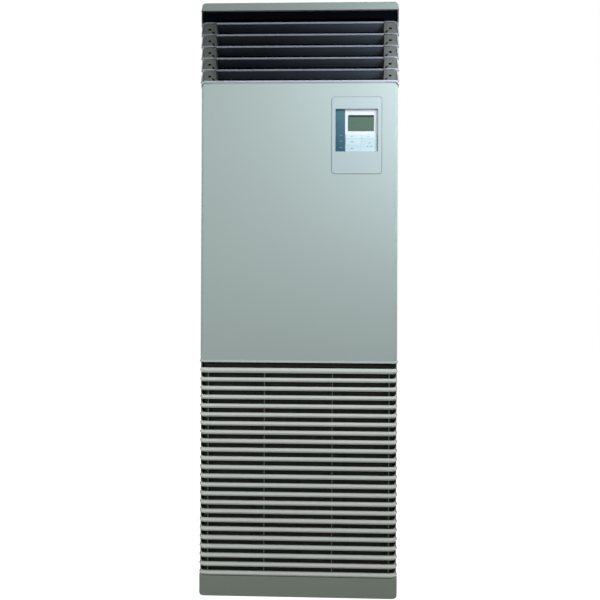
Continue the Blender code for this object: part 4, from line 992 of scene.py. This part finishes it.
floor_mesh = bmesh.new()
for x, y in ((-6.0, -6.0), (6.0, -6.0), (6.0, 6.0), (-6.0, 6.0)):
    floor_mesh.verts.new((x, y, 0.0))
floor_mesh.faces.new(list(floor_mesh.verts))
floor_data = bpy.data.meshes.new("studio_floor")
floor_mesh.to_mesh(floor_data)
floor_mesh.free()
floor = bpy.data.objects.new("studio_floor", floor_data)
bpy.context.scene.collection.objects.link(floor)
floor_paint = bpy.data.materials.new("floor_paint")
floor_paint.use_nodes = True
floor_nodes = floor_paint.node_tree
floor_shader = floor_nodes.nodes["Principled BSDF"]
floor_shader.inputs["Base Color"].default_value = (0.40, 0.40, 0.40, 1.0)
floor_shader.inputs["Roughness"].default_value = 0.9
floor_shader.inputs["Specular IOR Level"].default_value = 0.1
floor_shader.inputs["Emission Color"].default_value = (1.0, 1.0, 1.0, 1.0)
path = floor_nodes.nodes.new("ShaderNodeLightPath")
glow = floor_nodes.nodes.new("ShaderNodeMath")
glow.operation = "MULTIPLY"
glow.inputs[1].default_value = 0.92
floor_nodes.links.new(path.outputs["Is Camera Ray"], glow.inputs[0])
floor_nodes.links.new(glow.outputs["Value"], floor_shader.inputs["Emission Strength"])
floor_data.materials.append(floor_paint)

world = bpy.data.worlds.new("studio_surround")
bpy.context.scene.world = world
world.use_nodes = True
air = world.node_tree
air.nodes.clear()
soft = air.nodes.new("ShaderNodeBackground")
soft.inputs["Color"].default_value = (1.0, 0.97, 0.88, 1.0)
soft.inputs["Strength"].default_value = 0.34
white = air.nodes.new("ShaderNodeBackground")
white.inputs["Color"].default_value = (1.0, 1.0, 1.0, 1.0)
white.inputs["Strength"].default_value = 1.0
path = air.nodes.new("ShaderNodeLightPath")
seen = path.outputs["Is Camera Ray"]
for ray in ("Is Glossy Ray", "Is Transmission Ray"):
    either = air.nodes.new("ShaderNodeMath")
    either.operation = "MAXIMUM"
    air.links.new(seen, either.inputs[0])
    air.links.new(path.outputs[ray], either.inputs[1])
    seen = either.outputs["Value"]
mix = air.nodes.new("ShaderNodeMixShader")
air.links.new(seen, mix.inputs["Fac"])
air.links.new(soft.outputs["Background"], mix.inputs[1])
air.links.new(white.outputs["Background"], mix.inputs[2])
out = air.nodes.new("ShaderNodeOutputWorld")
air.links.new(mix.outputs["Shader"], out.inputs["Surface"])


def studio_lamp(name, place, target, size, power, colour, mirrored=True):
    """A square soft lamp turned towards a point, with or without its own highlight."""
    lamp = bpy.data.lights.new(name, "AREA")
    lamp.shape = "SQUARE"
    lamp.size = size
    lamp.energy = power
    lamp.color = colour
    stand = bpy.data.objects.new(name, lamp)
    stand.location = place
    stand.rotation_euler = (Vector(target) - Vector(place)).to_track_quat("-Z", "Y").to_euler()
    stand.visible_camera = False
    stand.visible_glossy = mirrored
    bpy.context.scene.collection.objects.link(stand)


studio_lamp("key_lamp", (0.65, -0.82, 1.7), (0.0, -0.16, 1.2), 0.5, 10.7, (0.86, 0.93, 1.0))
studio_lamp("fill_lamp", (-1.2, -1.6, 1.5), (0.0, -0.16, 1.0), 1.0, 12.6, (0.93, 1.0, 0.98),
            mirrored=False)
studio_lamp("rear_lamp", (-1.7, 2.4, 2.2), (0.0, 0.0, 0.9), 1.8, 60.0, (0.97, 0.99, 1.0))
studio_lamp("side_lamp", (2.3, 1.0, 1.5), (0.0, 0.0, 0.9), 1.4, 24.0, (0.97, 0.99, 1.0))

distance = 2.2
yaw = math.radians(2.06)
tilt = math.radians(0.247)
view_data = bpy.data.cameras.new("studio_camera")
view_data.lens = 44.894
view_data.sensor_width = 36.0
view_data.shift_y = -0.048
camera = bpy.data.objects.new("studio_camera", view_data)
camera.location = (0.0040 + distance * math.sin(yaw), -0.16 - distance * math.cos(yaw), 0.9589)
camera.rotation_euler = (Matrix.Rotation(yaw, 3, "Z") @ Matrix.Rotation(math.pi / 2, 3, "X")
                         @ Matrix.Rotation(tilt, 3, "Z")).to_euler()
bpy.context.scene.collection.objects.link(camera)
bpy.context.scene.camera = camera
bpy.context.scene.view_settings.view_transform = "Standard"
